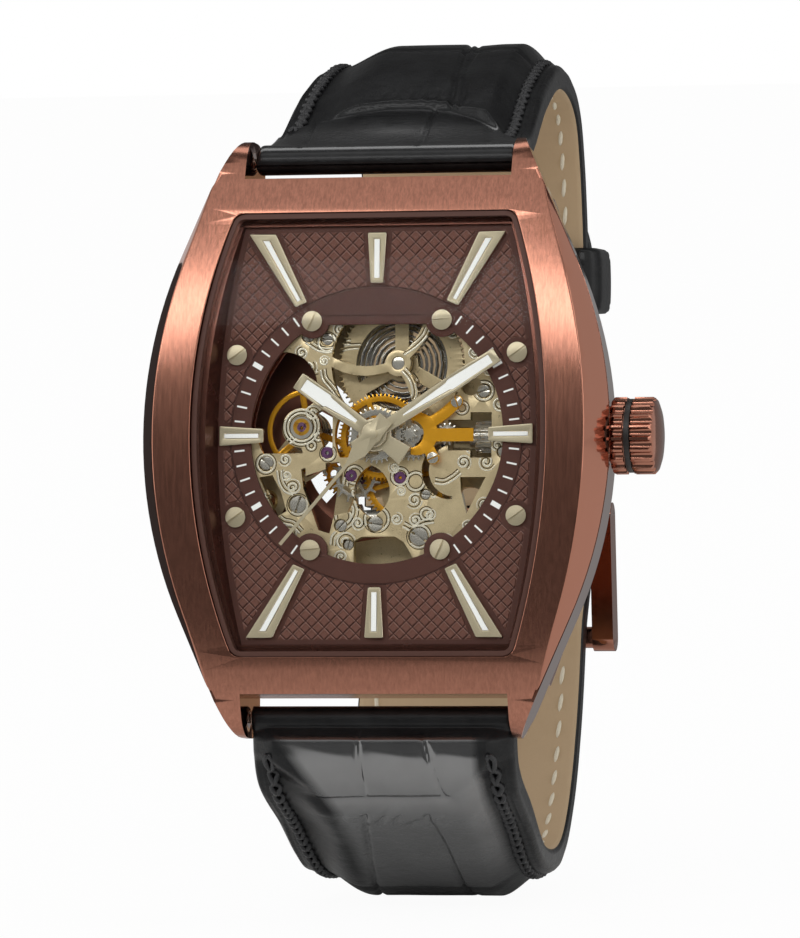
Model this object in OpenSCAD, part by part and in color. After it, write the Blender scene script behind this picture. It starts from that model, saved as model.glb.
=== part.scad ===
// Skeleton wristwatch with a tonneau case, a pierced automatic movement and a leather strap.
// Frame: the case back's outer face is the plane y = 0 and its middle is the origin.
// +X points to the crown, +Z to twelve o'clock, and the dial looks along -Y.
// A height is a distance in front of the case back's outer face, so height h is the plane y = -h.

/* [Case] */
// Width of the strap between the lugs
lug_gap = 24; // [20:0.5:24.5]
// Width of the case at its widest line
case_w = 42; // [41:0.5:44]
// Length of the case between the strap slots
body_l = 45.6; // [45:0.2:46]
// Length of a lug beyond the case's end
lug_len = 3.7; // [3.5:0.1:4]
// Height of the front face at its middle
case_t = 12.8; // [12.6:0.1:13.4]
// Width of the brushed front face at its middle
face_w = 38.6; // [37:0.2:39.6]
// Radius of the case's long sides round the middle
flank_r = 40; // [38:1:44]
// Distance from the middle at which the long sides run on straight to the lugs
flank_arc = 16; // [15:0.5:17]
// Radius of the front face, curved from twelve to six o'clock
face_r = 72; // [70:1:90]
// Height of the widest line, where the bezel sits on the case body
waist_h = 9.2; // [9.1:0.1:9.6]
// Width of the shadow line under the bezel
groove_h = 0.3; // [0.2:0.05:0.5]
// Depth of the shadow line under the bezel
groove_d = 0.3; // [0.1:0.05:0.5]
// How much the flank draws in towards the back
flank_taper = 0.95; // [0.4:0.05:1.2]

/* [Opening and crystal] */
// Width of the bezel's opening
open_w = 31.8; // [31.4:0.1:32.4]
// Width of the bezel's face at its ends, beside the strap slots
bezel_end = 3.2; // [3:0.05:3.4]
// Radius in plan of the opening's long sides
open_r = 59; // [55:1:70]
// Radius of the opening's corners
open_corner = 1.2; // [0.8:0.1:1.6]
// Thickness of the crystal
crystal_t = 1; // [0.9:0.05:1.05]
// How far the crystal's middle lies below the bezel's face
crystal_drop = 0.6; // [0.5:0.05:0.65]
// Radius of the crystal's front, curved from twelve to six o'clock
crystal_r = 82; // [80:1:90]
// Width of the gasket round the crystal
gasket_w = 0.5; // [0.3:0.05:0.6]

/* [Dial] */
// Height of the dial's front
dial_h = 8.6; // [8.5:0.05:8.7]
// Thickness of the dial
dial_t = 0.4; // [0.3:0.05:0.45]
// Width of the dark flange beside the dial, under the opening's long sides
flange_w = 1.6; // [1.4:0.05:1.7]
// Width of the dark flange under the opening's ends
flange_l = 1.2; // [1:0.05:1.3]
// Radius in plan of the showing dial's long sides
dial_r = 74; // [70:1:80]
// Radius of the round opening in the dial
hole_r = 11.35; // [11.2:0.05:11.5]
// Height above the middle of the flat cut at the opening's top
hole_flat = 9.8; // [9.6:0.1:10.2]
// Outer radius of the plain ring round the opening
ring_r = 13.1; // [13:0.05:13.2]
// Radius of the circle that the inner dial screws lie on
screw_ring_r = 11.68; // [11.5:0.05:11.9]
// Radius of a dial screw's head
dial_screw_r = 0.9; // [0.7:0.05:1]
// Distance of the outer dial screws from the showing dial's long sides
screw_inset = 1.7; // [1.7:0.05:1.9]
// Half the spacing of the outer dial screws along the dial
outer_screw_z = 7.18; // [6.8:0.1:7.6]
// Thickness of an applied hour marker
marker_t = 0.45; // [0.3:0.05:0.5]
// Width of the bar of light-up fill let into a marker
lume_w = 0.5; // [0.4:0.02:0.56]
// Metal left at a marker's end, beyond its fill
lume_end = 0.45; // [0.35:0.05:0.6]

/* [Hands] */
// Length of the hour hand from the middle
hour_len = 8.5; // [7.5:0.1:9]
// Length of the minute hand from the middle
minute_len = 12.95; // [12:0.1:13.2]
// Length of the seconds hand from the middle
second_len = 12.75; // [12:0.1:13.2]
// Thickness of a hand
hand_t = 0.2; // [0.12:0.02:0.22]
// Hour shown by the hands
shown_hour = 10; // [0:1:11]
// Minute shown by the hands
shown_minute = 9.62; // [0:0.1:59]
// Second shown by the hands
shown_second = 36.75; // [0:0.25:59]

/* [Movement] */
// Radius of the movement
mov_r = 13.4; // [13.2:0.1:13.5]
// Height of the main plate's front
plate_h = 7.9; // [7.85:0.05:8]
// Thickness of the main plate
plate_t = 1; // [0.9:0.05:1.05]
// Height of the bridges' back
bridge_h = 3.3; // [3.25:0.05:3.35]
// Thickness of the bridges
bridge_t = 1; // [0.8:0.05:1]
// Height of the winding stem's axis
stem_h = 5.6; // [5.5:0.05:5.7]
// Running clearance of an arbor in its hole
run = 0.04; // [0.02:0.01:0.05]
// Clearance between parts that are dropped into each other
fit = 0.05; // [0.03:0.01:0.08]
// Radius of the purple bearing jewels
jewel_r = 0.55; // [0.45:0.05:0.6]
// Radius of the balance wheel
balance_r = 3.7; // [3.5:0.05:3.75]
// Radius of the escape wheel over its tooth tips
escape_r = 2.3; // [2.1:0.05:2.35]
// Outer radius of the winding rotor
rotor_r = 12.3; // [12:0.1:12.5]
// Width of the winding rotor's heavy rim
rotor_rim = 3.6; // [3:0.1:4]
// Direction of the rotor's heavy side, clockwise from twelve o'clock
rotor_dir = 260; // [0:5:355]

/* [Crown] */
// Radius of the crown
crown_r = 3.4; // [3:0.1:3.6]
// Length of the crown without its dome
crown_l = 3.8; // [3.4:0.1:4.2]
// Number of the crown's flutes
crown_flutes = 20; // [16:1:26]
// How far the crown pulls out to set the hands
crown_pull = 1.2; // [0.8:0.1:1.2]

/* [Strap] */
// Width of the strap at the buckle
strap_end_w = 21; // [18:0.5:21.5]
// Thickness of the strap's plain band
strap_t = 2.2; // [1.8:0.1:2.4]
// How far the padded middle stands above the band at the case
pad_h = 2; // [1:0.1:2.2]
// Width of the plain border beside the padded middle
pad_border = 3; // [2:0.1:4]
// Depth of the closed strap loop behind the case back, to the band's middle
loop_d = 36.2; // [35.8:0.1:36.8]
// How far the closed loop reaches beyond the upper spring bar
loop_up = 10.55; // [10.2:0.05:11]
// How far the closed loop reaches beyond the lower spring bar
loop_down = 12.15; // [11.8:0.05:12.6]
// Radius of a lug spring bar
bar_r = 0.75; // [0.6:0.05:0.8]
// Radius of a spring bar's end pins
pin_r = 0.4; // [0.3:0.05:0.45]
// Distance of the spring bars' axes from the case's ends
bar_off = 1.95; // [1.85:0.05:2.05]
// Height of the spring bars' axes
bar_h = 4.3; // [4:0.1:4.6]
// Thickness of the buckle's wire
buckle_t = 2; // [1.6:0.1:2.2]
// Width of a keeper along the strap
keeper_w = 6; // [4:0.2:6.4]
// Thickness of a keeper's leather
keeper_t = 1.1; // [0.9:0.05:1.3]
// How far the free keeper slides each way
keeper_slide = 2; // [1:0.5:2]

/* [Hidden] */
$fn = 48;
// Slack past a face, so that a cut goes clean through
over = 0.5;

// Colours of the finishes
brown_metal = [0.42, 0.24, 0.19];
nickel = [0.72, 0.69, 0.58];
steel = [0.78, 0.78, 0.76];
gold = [0.85, 0.60, 0.18];
lume = [0.97, 0.97, 0.94];
leather = [0.10, 0.10, 0.11];

case_l = body_l + 2 * lug_len;
open_l = body_l - 2 * bezel_end;
dial_w = open_w - 2 * flange_w;
dial_l = open_l - 2 * flange_l;
outer_screw_x = dial_w / 2 - screw_inset;
bar_z = body_l / 2 + bar_off;
// Case: distance of the flank arcs' centres beyond the middle
flank_off = flank_r - case_w / 2;
lug_x = lug_gap / 2;
back_t = 1.6;
// Cavity that holds the movement, cut in the case body
cavity_w = open_w + 0.2;
cavity_l = open_l + 0.2;
crystal_front = case_t - crystal_drop;
dial_back = dial_h - dial_t;

// A solid between two heights, from an outline drawn as seen from the front
module slab(back, front) {
    translate([0, -back, 0]) rotate([90, 0, 0]) linear_extrude(front - back) children();
}
// A round rod along the depth, at a place on the dial plane
module pin(x, z, back, front, r, fn = 48) {
    translate([x, -back, z]) rotate([90, 0, 0]) cylinder(h = front - back, r = r, $fn = fn);
}
// A round rod across the watch, along X
module cross_pin(x0, x1, y, z, r, fn = 48) {
    translate([x0, y, z]) rotate([0, 90, 0]) cylinder(h = x1 - x0, r = r, $fn = fn);
}
// Barrel-shaped outline: two long arcs cut off straight at the ends, with square or eased corners
module tonneau(w, l, r, corner = 0) {
    intersection() {
        translate([w / 2 - r, 0]) circle(r, $fn = 360);
        translate([r - w / 2, 0]) circle(r, $fn = 360);
        if (corner > 0) eased_ends(w, l, r, corner);
        else square([w + 1, l], center = true);
    }
}
module eased_ends(w, l, r, corner) {
    mid_z = l / 2 - corner;
    lean = asin(mid_z / (r - corner));
    mid_x = w / 2 - r + (r - corner) * cos(lean);
    quarter = [for (k = [1 : 5]) let (a = lean + (90 - lean) * k / 5) [mid_x + corner * cos(a), mid_z + corner * sin(a)]];
    half = concat([[mid_x + mid_z * tan(lean) + 2 * corner, 0]], quarter,
        [for (k = [4 : -1 : 0]) [-quarter[k][0], quarter[k][1]]], [[-mid_x - mid_z * tan(lean) - 2 * corner, 0]]);
    polygon(concat(half, [for (k = [10 : -1 : 1]) [half[k][0], -half[k][1]]]));
}
// The same outline with its long sides sloping between two widths
module flanks(back, front, w_back, w_front, off) {
    intersection_for (side = [-1, 1])
        translate([side * off, -back, 0]) rotate([90, 0, 0])
            cylinder(h = front - back, r1 = w_back / 2 + off, r2 = w_front / 2 + off, $fn = 360);
}
// Both long sides of the case, each an arc that runs on straight, sloping between two widths
module sides(back, front, w_back, w_front) {
    intersection_for (side = [-1, 1]) mirror([(side + 1) / 2, 0, 0])
        translate([-flank_off, -back, 0]) rotate([90, 0, 0])
            one_side(front - back, w_back / 2 + flank_off, w_front / 2 + flank_off);
}
module one_side(high, r1, r2) {
    cylinder(h = high, r1 = r1, r2 = r2, $fn = 360);
    intersection() {
        translate([-2 * r1, -2 * r1, 0]) cube([4 * r1, 4 * r1, high]);
        for (end = [-1, 1]) rotate([0, 0, end * asin(flank_arc / flank_r)])
            translate([r1, 0, 0]) rotate([0, atan2(r2 - r1, high), 0])
                translate([-30, end > 0 ? 0 : -16, -5]) cube([30, 16, high + 10]);
    }
}
// Everything behind a surface curved from twelve to six o'clock, whose middle has a height
module under_curve(middle, r) {
    translate([-case_w, r - middle, 0]) rotate([0, 90, 0]) cylinder(h = 2 * case_w, r = r, $fn = 360);
}
// Both strap slots
module strap_slots() {
    for (side = [-1, 1])
        translate([-lug_x, -case_t - over, side > 0 ? body_l / 2 : -case_l])
            cube([lug_gap, case_t + 2 * over, case_l - body_l / 2]);
}
// Side outline of the case: depth along x, length along y
tip = case_l / 2;
lug_round = 3;
lug_foot = tip - lug_round;
// The lug's front rounds off from the face's curve
tip_r = 3.2;
tip_z = tip - tip_r;
tip_h = case_t - face_r + sqrt(pow(face_r - tip_r, 2) - pow(tip_z, 2));
tip_lean = asin(tip_z / (face_r - tip_r));
side_half = concat([[-back_t, lug_foot - 1.6], [-1, lug_foot - 0.6]],
    [for (a = [0 : 10 : 90]) [-1 - lug_round * (1 - cos(a)), lug_foot + lug_round * sin(a)]],
    [for (k = [0 : 6]) let (a = (90 - tip_lean) * k / 6) [-tip_h - tip_r * sin(a), tip_z + tip_r * cos(a)]],
    [[-tip_h - tip_r * cos(tip_lean) - (tip - 2) * tan(tip_lean) - 1, 0]]);
module side_outline() polygon(concat(side_half,
    [for (i = [len(side_half) - 2 : -1 : 0]) [side_half[i][0], -side_half[i][1]]]));
module side_block() {
    translate([-case_w, 0, 0]) rotate([90, 0, 90]) linear_extrude(2 * case_w) side_outline();
}
tube_r = 1.5;
stem_r = 0.6;

module case_body() color(brown_metal) {
    difference() {
        case_block();
        // Spot face that lets the crown sit in the flank
        cross_pin(case_w / 2 - 0.4, case_w, -stem_h, 0, crown_r + 0.15, 64);
    }
    // Tube that guides the winding stem
    difference() {
        cross_pin(cavity_w / 2 + 1, crown_x + 0.7, -stem_h, 0, tube_r - 0.1, 32);
        cross_pin(cavity_w / 2, case_w, -stem_h, 0, stem_r + fit, 32);
    }
}
module case_block() difference() {
    intersection() {
        union() {
            sides(0.5, waist_h - groove_h, case_w - 2 * flank_taper, case_w - 0.1);
            sides(waist_h - groove_h, waist_h, case_w - 2 * groove_d, case_w - 2 * groove_d);
        }
        side_block();
        under_curve(case_t, face_r);
    }
    slab(0, case_t) tonneau(cavity_w, cavity_l, open_r, open_corner);
    strap_slots();
    cross_pin(cavity_w / 2 - 1, case_w, -stem_h, 0, stem_r + fit, 32);
    for (side = [-1, 1]) {
        cross_pin(-lug_x - 0.85, lug_x + 0.85, -bar_h, side * bar_z, pin_r + fit, 24);
        for (x = [-1, 1]) pin(x * back_screw_x, side * back_screw_z, 0, back_t + 1.8, back_screw_r + fit, 24);
    }
}
module bezel() color(brown_metal) difference() {
    intersection() {
        sides(waist_h, case_t, case_w, face_w);
        under_curve(case_t, face_r);
        side_block();
    }
    slab(0, case_t + over) tonneau(open_w, open_l, open_r, open_corner);
    strap_slots();
}
module crystal() color([0.9, 0.95, 1, 0.25]) intersection() {
    difference() {
        under_curve(crystal_front, crystal_r);
        behind_crystal();
    }
    slab(dial_h, case_t) tonneau(open_w - 2 * gasket_w - 2 * fit, open_l - 2 * gasket_w - 2 * fit, open_r,
        open_corner - gasket_w);
}
module behind_crystal() under_curve(crystal_front - crystal_t, crystal_r - crystal_t);
module crystal_gasket() color([0.12, 0.09, 0.08]) intersection() {
    difference() {
        under_curve(crystal_front + 0.1, crystal_r + 0.1);
        behind_crystal();
    }
    slab(dial_h, case_t) difference() {
        tonneau(open_w - 2 * fit, open_l - 2 * fit, open_r, open_corner);
        tonneau(open_w - 2 * gasket_w, open_l - 2 * gasket_w, open_r, open_corner - gasket_w);
    }
}
module rehaut() color(brown_metal) intersection() {
    difference() {
        slab(dial_h, case_t) tonneau(open_w - 2 * fit, open_l - 2 * fit, open_r, open_corner);
        intersection() {
            flanks(dial_h - 0.01, case_t, dial_w, dial_w + 1.8, dial_r - dial_w / 2);
            slope_ends();
        }
    }
    behind_crystal();
}
// Sloping ends of the flange's inside
module slope_ends() {
    translate([-case_w, 0, 0]) rotate([90, 0, 90]) linear_extrude(2 * case_w)
        polygon([[-dial_h + 0.02, -dial_l / 2], [-case_t, -dial_l / 2 - 0.9],
                 [-case_t, dial_l / 2 + 0.9], [-dial_h + 0.02, dial_l / 2]]);
}
back_screw_r = 0.7;
back_w = case_w - 5.4;
back_l = body_l - 2.2;
back_screw_x = back_w / 2 - 7.8;
back_screw_z = back_l / 2 - 1.35;
window_r = 13;
module case_back() color(brown_metal) difference() {
    slab(0, back_t) tonneau(back_w, back_l, open_r);
    pin(0, 0, -over, back_t + over, window_r - 0.7, 96);
    pin(0, 0, 0.4, back_t + over, window_r, 96);
    for (x = [-1, 1]) for (z = [-1, 1]) {
        pin(x * back_screw_x, z * back_screw_z, -over, back_t + over, back_screw_r + fit, 24);
        pin(x * back_screw_x, z * back_screw_z, -over, 0.7, back_screw_head + fit, 24);
    }
}
back_screw_head = 1.1;
module back_crystal() color([0.9, 0.95, 1, 0.25]) {
    pin(0, 0, 0.4, back_t, window_r - fit, 96);
    pin(0, 0, 0, 0.4, window_r - 0.7 - fit, 96);
}
module back_screws() color(steel) for (x = [-1, 1]) for (z = [-1, 1]) {
    difference() {
        union() {
            pin(x * back_screw_x, z * back_screw_z, 0.1, 0.7, back_screw_head, 24);
            pin(x * back_screw_x, z * back_screw_z, 0.7, back_t + 1.7, back_screw_r, 24);
        }
        translate([x * back_screw_x, 0, z * back_screw_z]) cube([3, 0.7, 0.3], center = true);
    }
}

// Dial: the round opening with its flat top and the four brown lobes under the inner screws
lobe_r = dial_screw_r + 0.6;
module dial_opening() {
    difference() {
        circle(hole_r, $fn = 96);
        translate([-hole_r, hole_flat]) square([2 * hole_r, hole_r]);
        inner_screws() circle(lobe_r);
    }
}
module inner_screws() for (a = [30, 150, 210, 330]) rotate(-a) translate([0, screw_ring_r]) children();
module screw_places() {
    inner_screws() children();
    for (x = [-1, 1]) for (z = [-1, 1]) translate([x * outer_screw_x, z * outer_screw_z]) children();
}
dial_screw_shank = 0.45;
module dial() color([0.33, 0.17, 0.14]) {
    slab(dial_back, dial_h) difference() {
        tonneau(cavity_w - 2 * fit, cavity_l - 2 * fit, open_r, open_corner);
        dial_opening();
        screw_places() circle(dial_screw_shank + fit, $fn = 24);
    }
}
module dial_screws() color(steel) {
    slab(dial_h, dial_h + 0.3) difference() {
        screw_places() circle(dial_screw_r, $fn = 32);
        screw_places() rotate(35) square([2 * dial_screw_r + 1, 0.22], center = true);
    }
    slab(dial_h, dial_h + 0.12) screw_places() circle(dial_screw_r, $fn = 32);
    slab(dial_back - 0.4, dial_h) screw_places() circle(dial_screw_shank, $fn = 24);
}
// Applied markers as outlines: the long ones taper towards the middle
marker_out = dial_l / 2 - 0.5;
marker_in = ring_r + 0.3;
marker_out_w = 1.76;
marker_in_w = 1.2;
side_out = dial_w / 2 - 0.2;
side_in = side_out - 4;
corner_out = [for (inset = [5.2, 2.7]) [dial_w / 2 - inset, marker_out - 0.05]];
corner_in = [for (c = [[33, 0.4], [27.9, 0.25]]) (ring_r + c[1]) * [sin(c[0]), cos(c[0])]];
module upright_marker() {
    w0 = marker_in_w / 2;
    w1 = marker_out_w / 2;
    polygon([[-w0, marker_in], [w0, marker_in], [w1, marker_out], [-w1, marker_out]]);
}
module side_marker() {
    w0 = marker_in_w / 2;
    w1 = marker_out_w / 2;
    polygon([[side_in, -w0], [side_out, -w1], [side_out, w1], [side_in, w0]]);
}
module both_ways() for (m = [0, 1], n = [0, 1]) mirror([0, m]) mirror([n, 0]) children();
module all_markers() both_ways() {
    upright_marker();
    side_marker();
    polygon(concat(corner_out, corner_in));
}
// Fills: a narrow bar down the middle of each marker, drawn in by d for a fit in its recess
module bar(x0, x1, y0, y1) polygon([[x0, y0], [x1, y0], [x1, y1], [x0, y1]]);
corner_top = (corner_out[0] + corner_out[1]) / 2;
corner_low = (corner_in[0] + corner_in[1]) / 2;
corner_run = (corner_low - corner_top) / norm(corner_low - corner_top);
corner_side = [-corner_run[1], corner_run[0]];
module corner_fill(d) {
    top = corner_top + (lume_end * 1.5 + d) * corner_run;
    low = corner_low - (lume_end * 0.9 + d) * corner_run;
    w1 = [(lume_w / 2 - d) / corner_side[0], 0];
    w0 = (lume_w / 3 - d) * corner_side;
    polygon([top - w1, top + w1, low + w0, low - w0]);
}
module all_fills(d) {
    w = lume_w / 2 - d;
    both_ways() {
        bar(-w, w, marker_in + lume_end + d, marker_out - 1.3 * lume_end - d);
        bar(side_in + lume_end + d, side_out - lume_end - d, -0.8 * w, 0.8 * w);
        corner_fill(d);
    }
}
lume_depth = 0.2;
module hour_markers() color(steel) {
    slab(dial_h, dial_h + marker_t - lume_depth) all_markers();
    slab(dial_h + marker_t - lume_depth, dial_h + marker_t) difference() {
        all_markers();
        all_fills(0);
    }
}
module marker_lume() color(lume)
    slab(dial_h + marker_t - lume_depth, dial_h + marker_t - 0.03) all_fills(0.02);

// Hands: heights of their backs, and angles clockwise from twelve o'clock
hour_h = dial_h + 0.5;
minute_h = hour_h + 0.4;
second_h = minute_h + 0.38;
hour_angle = 30 * (shown_hour + shown_minute / 60);
minute_angle = 6 * shown_minute;
second_angle = 6 * shown_second;
second_shaft_r = 0.16;
centre_tube_r = 0.36;
cannon_r = 0.6;
pipe_r = 0.95;
// Lance hand: hub, thin shoulders, wide blade, and an opening along it that holds the fill
module lance(length, hub, waist, shoulder, tip_w, tail, tail_w) {
    circle(hub, $fn = 48);
    polygon([[-tail_w / 2, -tail], [tail_w / 2, -tail], [waist / 2, 0], [shoulder / 2, length * 0.62],
             [tip_w / 2, length], [-tip_w / 2, length], [-shoulder / 2, length * 0.62], [-waist / 2, 0]]);
}
module lance_fill(length, waist, shoulder, tip_w, rim) {
    polygon([[-waist / 2 + rim * 1.6, length * 0.24], [waist / 2 - rim * 1.6, length * 0.24],
             [shoulder / 2 - rim * 1.5, length * 0.60], [shoulder / 2 - rim, length * 0.62],
             [tip_w / 2 - rim, length - rim * 2.4], [-tip_w / 2 + rim, length - rim * 2.4],
             [-shoulder / 2 + rim, length * 0.62], [-shoulder / 2 + rim * 1.5, length * 0.60]]);
}
hand_rim = 0.28;
module hour_outline() lance(hour_len, 1.5, 1.15, 1.72, 1.62, 3.3, 1.9);
module hour_fill(rim) lance_fill(hour_len, 1.15, 1.72, 1.62, rim);
module minute_outline() lance(minute_len, 1.15, 1.0, 1.5, 1.35, 2.2, 1.0);
module minute_fill(rim) lance_fill(minute_len, 1.0, 1.5, 1.35, rim);
module hour_hand() color(steel) {
    slab(hour_h, hour_h + hand_t) rotate(-hour_angle) difference() {
        hour_outline();
        hour_fill(hand_rim);
        circle(pipe_r - 0.1);
    }
}
module hour_lume() color(lume)
    slab(hour_h + 0.03, hour_h + hand_t - 0.03) rotate(-hour_angle) hour_fill(hand_rim);
module minute_hand() color(steel) {
    slab(minute_h, minute_h + hand_t) rotate(-minute_angle) difference() {
        minute_outline();
        minute_fill(hand_rim);
        circle(cannon_r - 0.1);
    }
}
module minute_lume() color(lume)
    slab(minute_h + 0.03, minute_h + hand_t - 0.03) rotate(-minute_angle) minute_fill(hand_rim);
second_tail = 1.8;
second_blade = 3.5;
second_blade_w = 1.5;
second_rod_w = 0.3;
module seconds_hand() color(steel) {
    slab(second_h, second_h + hand_t * 0.8) rotate(-second_angle) difference() {
        union() {
            polygon([[-second_blade_w / 2, -second_tail], [second_blade_w / 2, -second_tail],
                     [second_blade_w / 2, second_blade * 0.55], [second_rod_w / 2, second_blade],
                     [second_rod_w / 2, second_len], [-second_rod_w / 2, second_len],
                     [-second_rod_w / 2, second_blade], [-second_blade_w / 2, second_blade * 0.55]]);
            circle(0.85);
        }
        circle(second_shaft_r);
    }
    pin(0, 0, second_h + hand_t * 0.8, second_h + hand_t * 0.8 + 0.12, 0.4, 32);
}

// Gear outline: each tooth is a trapezoid, and one points along the given angle
module gear(teeth, m, phase = 0, add = 0.9, ded = 1.15, land = 0.16, foot = 0.5) {
    r = teeth * m / 2;
    step = 360 / teeth;
    polygon([for (i = [0 : teeth - 1]) for (k = [-foot / 2, -land / 2 - 0.03, land / 2 + 0.03, foot / 2])
        let (tip_r = abs(k) < foot / 2 ? r + add * m : r - ded * m)
        [tip_r * cos(phase + (i + k) * step), tip_r * sin(phase + (i + k) * step)]]);
}
// Straight spokes from the hub to the rim
module spokes(count, width, reach, turn = 0) {
    for (i = [0 : count - 1]) rotate(turn + i * 360 / count) translate([0, -width / 2]) square([reach, width]);
}
// A train wheel: toothed rim, spokes and hub
module wheel(teeth, m, rim, hub, arms, width, phase = 0, turn = 0, bore = 0) {
    r = teeth * m / 2 - 1.15 * m;
    difference() {
        union() {
            difference() {
                gear(teeth, m, phase);
                circle(r - rim, $fn = 64);
            }
            circle(hub);
            spokes(arms, width, r - rim / 2, turn);
        }
        if (bore > 0) circle(bore);
    }
}
// Places of the movement's axes on the dial plane
centre = [0, 0];
barrel_at = [1.75, 6.4];
third_at = [2.0, -3.7];
escape_at = [-2.4, -3.5];
fork_at = [-4.6, -1.45];
balance_at = [-6.9, 0.75];
function toward(a, b) = atan2(b[1] - a[1], b[0] - a[0]);
function apart(a, b) = norm(b - a);
// Tooth counts of the going train: the seconds wheel turns once a minute
barrel_teeth = 72;
centre_leaves = 12;
centre_teeth = 64;
third_leaves = 8;
third_teeth = 60;
fourth_leaves = 8;
fourth_teeth = 72;
escape_leaves = 6;
escape_teeth = 15;
m_barrel = 2 * apart(barrel_at, centre) / (barrel_teeth + centre_leaves);
m_centre = 2 * apart(centre, third_at) / (centre_teeth + third_leaves);
m_third = 2 * apart(third_at, centre) / (third_teeth + fourth_leaves);
m_fourth = 2 * apart(centre, escape_at) / (fourth_teeth + escape_leaves);
// Levels between the main plate's back and the bridges' front
plate_back = plate_h - plate_t;
bridge_front = bridge_h + bridge_t;
level_centre = plate_back - 0.35;
level_flange = plate_back - 0.85;
level_escape = plate_back - 1.05;
level_third = bridge_front + 0.9;
level_balance = bridge_front + 0.62;
level_fourth = bridge_front + 0.25;
wheel_t = 0.18;
staff_r = 0.12;

module main_plate() color(nickel) difference() {
    union() {
        slab(plate_back, plate_h) plate_outline();
        // Raised boss that steadies the motion work
        pin(0, 0, plate_h, plate_h + 0.15, 1.25, 48);
    }
    for (p = [third_at, escape_at, fork_at])
        pin(p[0], p[1], plate_back - over, plate_h + over, jewel_r, 32);
    pin(balance_at[0], balance_at[1], plate_back - over, plate_h + over, shock_r + fit, 48);
    pin(0, 0, plate_back - over, plate_h + over, centre_tube_r + run, 32);
    pin(barrel_at[0], barrel_at[1], plate_back - over, plate_h + over, arbor_pivot_r + run, 32);
    pin(minute_at[0], minute_at[1], plate_back - over, plate_h + over, staff_r + run, 24);
    for (p = wells) pin(p[0], p[1], plate_back - over, plate_h + over, p[2] * 0.55 + fit, 24);
    for (p = wells) pin(p[0], p[1], plate_h - 0.55, plate_h + over, p[2], 32);
    slab(plate_h - 0.5, plate_h + over) inner_screws() circle(dial_screw_shank + fit, $fn = 24);
    // Channel for the winding stem and its pinions
    cross_pin(pinion_x - 0.2, mov_r + 1, -stem_h, 0, winding_r + 0.2);
}
shock_r = 1.0;
arbor_pivot_r = 0.55;
winding_r = 1.45;
pinion_x = 8.7;
minute_at = [3.0, 0.1];
// Screw wells in the main plate: place and radius
wells = [[-7.2, -6.0, 0.85], [-3.3, -7.9, 0.6], [-10.1, -2.3, 0.7], [-0.2, -7.75, 0.75],
    [3.7, -8.9, 0.9], [-2.6, -9.6, 0.5], [4.3, -5.2, 0.5], [9.4, 3.9, 0.65], [11.2, -1.5, 0.55],
    [-4.7, 8.6, 0.6], [-6.4, 8.9, 0.6]];
// Outline of the pierced main plate, as seen through the dial
module plate_outline() {
    difference() {
        circle(mov_r, $fn = 120);
        barrel_window();
        balance_window();
        escape_window();
        third_window();
        polygon([[-10.7, -3.6], [-9.5, -3.4], [-8.7, -4.9], [-8.2, -6.6], [-9.1, -7.1]]);
        polygon([[-2.1, -9.3], [-1.4, -8.9], [1.6, -8.9], [2.4, -9.4], [3.6, -11.4], [-2.1, -11.6]]);
        polygon([[7.4, -3.7], [9.7, -3.7], [8.0, -6.9], [7.5, -5.0]]);
        difference() {
            translate([6.5, -3.1]) circle(2.55);
            translate([6.9, -3.1]) circle(2.3);
            translate([6.7, -6]) square([4, 6]);
        }
        translate([8.3, 4.4]) circle(0.9, $fn = 32);
        keyless_window();
        centre_window();
    }
    barrel_star();
    balance_arm();
    centre_hub();
}
barrel_window_r = 6;
module barrel_window() translate(barrel_at) circle(barrel_window_r, $fn = 96);
module centre_window() intersection() {
    circle(3.9, $fn = 64);
    translate([-5, -1.9]) square([9, 8]);
}
// Three curved arms that carry the barrel's front bearing
module barrel_star() {
    translate(barrel_at) circle(1.15);
    curved_arm(barrel_at, [4.9, 12.4], 0.75, -0.8);
    curved_arm(barrel_at, [-5.6, 7.6], 0.85, 1.2);
    curved_arm(barrel_at, [3.5, 0.3], 0.75, 0.7);
}
// A narrow arm between two places, bowed sideways
module curved_arm(a, b, w, bow) {
    along = (b - a) / norm(b - a);
    side = [-along[1], along[0]];
    steps = 8;
    mid = [for (i = [0 : steps]) a + (b - a) * i / steps + side * bow * 4 * i / steps * (1 - i / steps)];
    polygon(concat([for (p = mid) p + side * w / 2], [for (i = [steps : -1 : 0]) mid[i] - side * w / 2]));
}
module balance_window() intersection() {
    circle(11.9, $fn = 96);
    union() {
        translate(balance_at) circle(4.1, $fn = 64);
        translate([-8.6, 4.4]) circle(3.1, $fn = 48);
        translate([-11.5, 3]) circle(3, $fn = 48);
    }
    translate([-14, -1.5]) square([9.9, 9.5]);
}
module balance_arm() {
    translate(balance_at) circle(1.75);
    curved_arm(balance_at, [-5.6, -3.2], 1.9, 0.4);
    curved_arm(balance_at, [-3.4, 2.9], 0.9, 0.9);
}
module escape_window() {
    polygon([[-6.9, -2.9], [-5.4, -2.4], [-3.5, -2.3], [-3.1, -3.0], [-3.2, -4.2], [-2.5, -4.6], [-2.1, -5.6],
             [-2.5, -6.7], [-3.9, -7.0], [-4.3, -8.6], [-5.3, -8.3], [-5.9, -6.6], [-6.7, -4.6]]);
}
module third_window() {
    intersection() {
        translate([0.4, -4.9]) circle(2.5);
        translate([-1.3, -4.9]) circle(2.4);
    }
}
module keyless_window() {
    translate([6.3, -1.35]) square([pinion_x - 6.3, 2.7]);
    translate([pinion_x - 0.4, -2.0]) square([1.9, 4.0]);
}
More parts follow.
